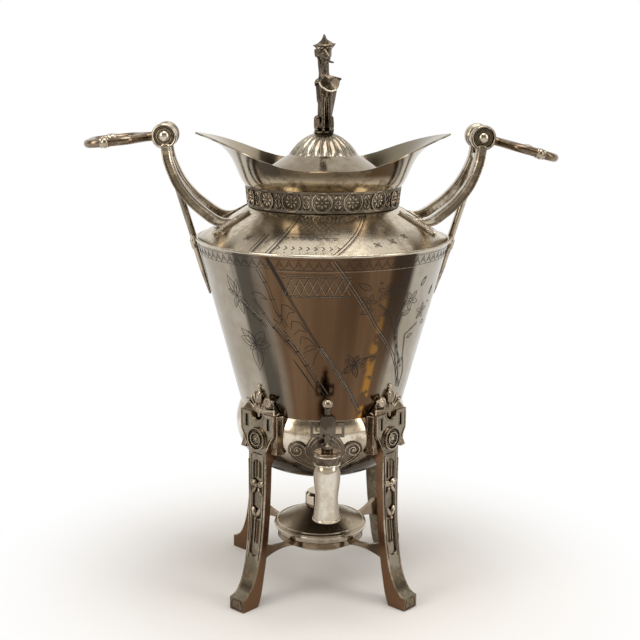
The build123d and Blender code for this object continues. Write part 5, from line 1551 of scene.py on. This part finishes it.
# %% Finial
finial_foot = 366.0
low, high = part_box("finial")
figure = {
    "hat": [
        [(-0.3, -0.5, 73.2, 0.6), (-0.2, -0.5, 70.4, 1.5), (-0.2, -0.4, 67.0, 3.1)],
        [(-3.9, -1.4, 66.8, 0.9), (3.9, -1.4, 67.4, 0.9), (-0.2, -0.5, 69.2, 1.8), (0.0, 1.8, 66.6, 1.6)],
        [
            (-8.7, -3.0, 65.0, 0.5), (-4.6, -3.8, 64.6, 1.1), (0.0, -4.8, 64.2, 1.3), (4.6, -3.8, 65.0, 1.1),
            (8.0, -3.0, 66.3, 0.5), (3.6, 1.8, 66.0, 1.5), (-3.6, 1.8, 65.8, 1.5), (0.0, 5.4, 65.4, 0.9),
        ],
        [
            (-7.0, -2.6, 64.4, 0.9), (6.8, -2.6, 65.6, 0.9), (-4.4, -4.0, 62.6, 1.0), (4.4, -4.0, 63.0, 1.0),
            (0.0, -5.4, 63.0, 1.1), (-4.0, 2.0, 62.8, 1.6), (4.0, 2.0, 63.2, 1.6), (0.0, -0.5, 68.0, 2.6),
        ],
        [(-0.9, -2.3, 71.0, 0.6), (-1.0, -4.0, 66.8, 0.9)],
        [(0.9, -2.2, 70.2, 0.5), (1.6, -4.0, 66.6, 0.7)],
    ],
    "head": [
        [(-1.3, 0.3, 60.2, 5.9), (-0.4, -0.2, 55.2, 4.7)],
        [(0.6, -3.6, 57.6, 3.2), (2.5, -8.0, 55.8, 2.0)],
        [(-0.2, -5.4, 62.0, 1.2), (2.4, -8.8, 57.9, 0.9)],
        [(2.9, -9.4, 56.9, 1.15)],
        [(0.6, -3.6, 54.0, 2.1), (2.3, -7.0, 52.9, 1.1)],
        [(2.4, -5.0, 53.6, 1.1), (6.4, -5.6, 52.6, 0.8)],
        [(0.9, -5.4, 52.2, 1.7), (0.6, -5.2, 46.4, 0.55)],
        [(-5.6, -3.6, 62.6, 0.7), (-2.2, -5.8, 62.7, 0.8)],
        [(2.2, -6.0, 62.9, 0.8), (4.9, -3.9, 62.8, 0.7)],
        [(-3.9, -5.3, 60.8, 0.85)],
        [(3.4, -5.6, 61.1, 0.85)],
        [(-7.0, 0.2, 61.5, 1.0), (-6.6, 0.0, 57.4, 0.9)],
        [(4.6, 0.2, 61.5, 1.0), (4.6, 0.0, 57.4, 0.9)],
        [(-5.2, -2.6, 57.0, 1.2), (-3.6, -3.6, 52.6, 1.0)],
    ],
    "neck": [
        [(-0.9, 0.3, 54.0, 4.6), (-0.3, 0.3, 44.0, 4.2)],
        [(-0.3, 0.3, 44.0, 4.2), (0.4, 0.0, 37.5, 5.4)],
    ],
    "bib": [
        [
            (-3.6, -4.9, 37.4, 0.8), (-1.6, -6.2, 34.0, 0.8), (1.8, -7.1, 31.8, 0.8), (5.2, -7.2, 31.0, 0.8),
            (8.4, -5.8, 32.2, 0.8), (10.6, -3.6, 35.4, 0.8), (11.0, -2.2, 38.6, 0.9), (7.6, -2.6, 41.0, 1.3),
            (2.5, -4.8, 40.0, 1.6), (0.4, -3.6, 42.2, 1.6), (3.0, -1.0, 36.0, 3.0), (3.6, -5.6, 36.4, 2.4),
        ],
        [(6.6, -2.2, 41.2, 1.3), (12.3, -1.9, 40.2, 1.05)],
        [(-6.5, -2.4, 37.2, 1.3), (-3.2, -4.2, 37.9, 1.1)],
        [(-6.3, -2.4, 39.0, 0.8), (-6.6, -2.2, 35.6, 1.0)],
    ],
    "body": [
        [(0.6, 0.2, 36.0, 5.9), (0.7, 0.0, 26.5, 5.7)],
        [
            (-1.2, 0.2, 37.0, 5.0), (6.2, -0.4, 36.4, 4.6), (4.6, 0.0, 24.5, 4.2), (2.2, 0.4, 13.0, 4.4),
            (-0.2, 0.2, 24.0, 5.4),
        ],
        [(-4.4, -0.6, 38.2, 2.6), (-3.0, 0.2, 24.0, 2.8)],
        [(0.7, 0.0, 26.5, 5.7), (0.1, 0.8, 12.0, 5.3)],
        [(0.1, 1.6, 12.0, 5.4), (0.0, 1.4, 4.0, 6.4)],
        [(2.2, -5.6, 30.2, 0.5), (5.2, -5.2, 30.0, 0.5)],
        [(2.2, -6.0, 26.8, 0.5), (5.2, -5.6, 26.6, 0.5)],
        [(2.2, -5.6, 30.2, 0.4), (2.2, -6.0, 26.8, 0.4)],
    ],
    "haunches": [
        [(-4.7, 1.5, 7.6, 3.2), (-5.0, -2.2, 10.0, 3.0), (-4.8, -1.0, 4.0, 3.2)],
        [(4.9, 1.8, 7.6, 3.0), (5.2, -1.6, 10.4, 2.4), (5.0, -0.6, 4.0, 3.0)],
        [(-5.6, -2.5, 2.0, 2.1), (-5.8, -5.0, 1.6, 1.6)],
        [(6.0, -1.5, 2.0, 1.9), (6.4, -3.6, 1.6, 1.4)],
    ],
    "forelegs": [
        [(-0.9, -4.3, 27.0, 2.0), (-0.5, -5.6, 4.5, 1.45)],
        [(4.0, -4.2, 27.0, 2.1), (4.5, -5.4, 4.5, 1.5)],
        [(-0.5, -5.8, 2.2, 1.8), (-0.6, -7.6, 1.5, 1.4)],
        [(4.7, -5.6, 2.2, 1.9), (4.9, -7.3, 1.5, 1.4)],
    ],
    "foot": [[(7.2 * cos(turn), 7.2 * sin(turn), -0.2, 0.9) for turn in np.linspace(0, 2 * pi, 17)[:-1]]],
}
figure_place = Matrix.Translation((0, 0, finial_foot * MM))
finial = casting("finial_figure", sum(figure.values(), []), "old_casting", 0.38, 3, figure_place)
settle(finial, "lid", ["finial"])
bib_edge = [(-3.9, -5.3, 37.4), (-1.8, -6.7, 33.9), (1.8, -7.6, 31.5), (5.4, -7.7, 30.7), (8.6, -6.3, 31.9)]
edge_balls = chain([[(*spot, 0.85)] for spot in bib_edge])
bib_rim = casting("bib_rim", edge_balls, "tap_silver", 0.22, 2, figure_place)
settle(bib_rim, "lid")
print("finial", len(finial.data.polygons), "faces, solid's box", [round(c, 4) for c in (*low, *high)])

# %% [markdown]
# ## Flower sprays
# Over each leg's head a spray of flowers leans against the wall: three stems from the notch, a tall bud
# with a ball on top, and an open flower on one side. Two small columns frame the head.

# %% Balls of a spray and of the head's columns
spray_face = 71.6


def spray_shapes(hand):
    """Balls for a spray, with its open flower on one hand and its slim buds on the other. Each is written as
    (sideways, how far behind the spray's face, how far over the head, radius)."""
    fan = [(0.0, 2.6, 1.4), (-14.5, -3.0, 0.9), (14.5, -3.0, 0.9), (-12.5, 5.5, 0.7), (12.5, 5.5, 0.7)]
    fan.append((0.0, 7.5, 0.8))
    ground = [(16.4, 0.4, 0.2), (15.6, 6.0, 0.6), (12.0, 4.0, 7.6)]
    shapes = [
        [(x, 2.6, up, size) for x, up, size in fan],
        [(x * side, back, up, 0.8) for side in (-1, 1) for x, back, up in ground],
        [(0.6, 0.6, 9.4, 3.1), (1.0, 0.4, 14.2, 2.6), (0.8, 4.0, 8.0, 3.0)],
        [(0.9, 0.5, 16.6, 1.2), (0.6, 0.4, 19.0, 1.0)],
        [(0.5, 0.4, 20.4, 2.1)],
        [(0.0, 1.0, -3.0, 1.6), (0.4, 0.6, 6.0, 1.2)],
    ]
    for x, up in ((-5.4, 13.6), (-9.4, 12.2), (-13.4, 9.0)):
        stem = [(0.0, -2.0, 1.0), (x * 0.62, up * 0.55, 0.9), (x * 0.84, up * 0.82, 1.5), (x, up, 0.7)]
        shapes += chain([[(across, 0.8, rise, size)] for across, rise, size in stem])
    flower_x, flower_up = 9.6, 9.2
    petals = [swung(flower_x, flower_up, 3.1, turn) for turn in np.linspace(0, 360, 13)]
    shapes += chain([[(x, 0.2, up, 1.15)] for x, up in petals])
    shapes += [
        [(flower_x, 0.2, flower_up, 1.3)],
        [(flower_x, 1.8, flower_up, 3.4), (flower_x * 0.8, 4.4, 5.0, 2.6)],
        [(0.0, 1.0, -2.0, 1.0), (flower_x * 0.7, 0.8, 5.6, 1.0)],
        [(14.6, 0.4, 10.6, 1.7)],
        [(11.4, 1.0, 9.8, 0.8), (14.6, 1.0, 10.6, 0.8)],
        [(4.0, 0.6, 2.2, 1.0), (15.2, 1.6, 3.4, 1.0)],
    ]
    return [
        [(hand * x, spray_face - back, head_top + up, size) for x, back, up, size in shape]
        for shape in shapes
    ]


def column_shapes():
    """Balls for the two columns of a leg's head: a shaft, a wider foot and a pointed cap on each."""
    plan = [(13.4, 63.0), (17.8, 62.4), (20.3, 65.6), (18.6, 70.6), (14.4, 71.0)]
    cap = [(62.6, 155.6), (70.4, 155.6), (66.5, 157.4)]
    middle_x, middle_out = 15.6, 66.5
    shapes = []
    for side in (-1, 1):
        for levels in (((155.0, 1.0), (130.5, 0.84)), ((129.9, 0.86), (125.6, 1.16))):
            shapes.append([
                (side * (middle_x + (x - middle_x) * grow), middle_out + (out - middle_out) * grow, z, 0.6)
                for z, grow in levels for x, out in plan
            ])
        shapes.append([(side * 17.0, out, z, 0.7) for out, z in cap])
    return shapes


print("spray", len(spray_shapes(1)), "shapes, columns", len(column_shapes()), "shapes")

# %% Sprays and columns over the legs
for corner, azimuth in leg_azimuths.items():
    columns = casting(f"head_columns_{corner}", column_shapes(), "cast_silver", 0.4, 1, outward(azimuth))
    settle(columns, "urn")
    hand = 1 if corner in ("front_left", "back_right") else -1
    spray = casting(f"flowers_{corner}", spray_shapes(hand), "bright_casting", 0.4, 2, outward(azimuth))
    settle(spray, "urn", [f"spray_{corner}"])
print("spray", len(spray.data.polygons), "faces each")
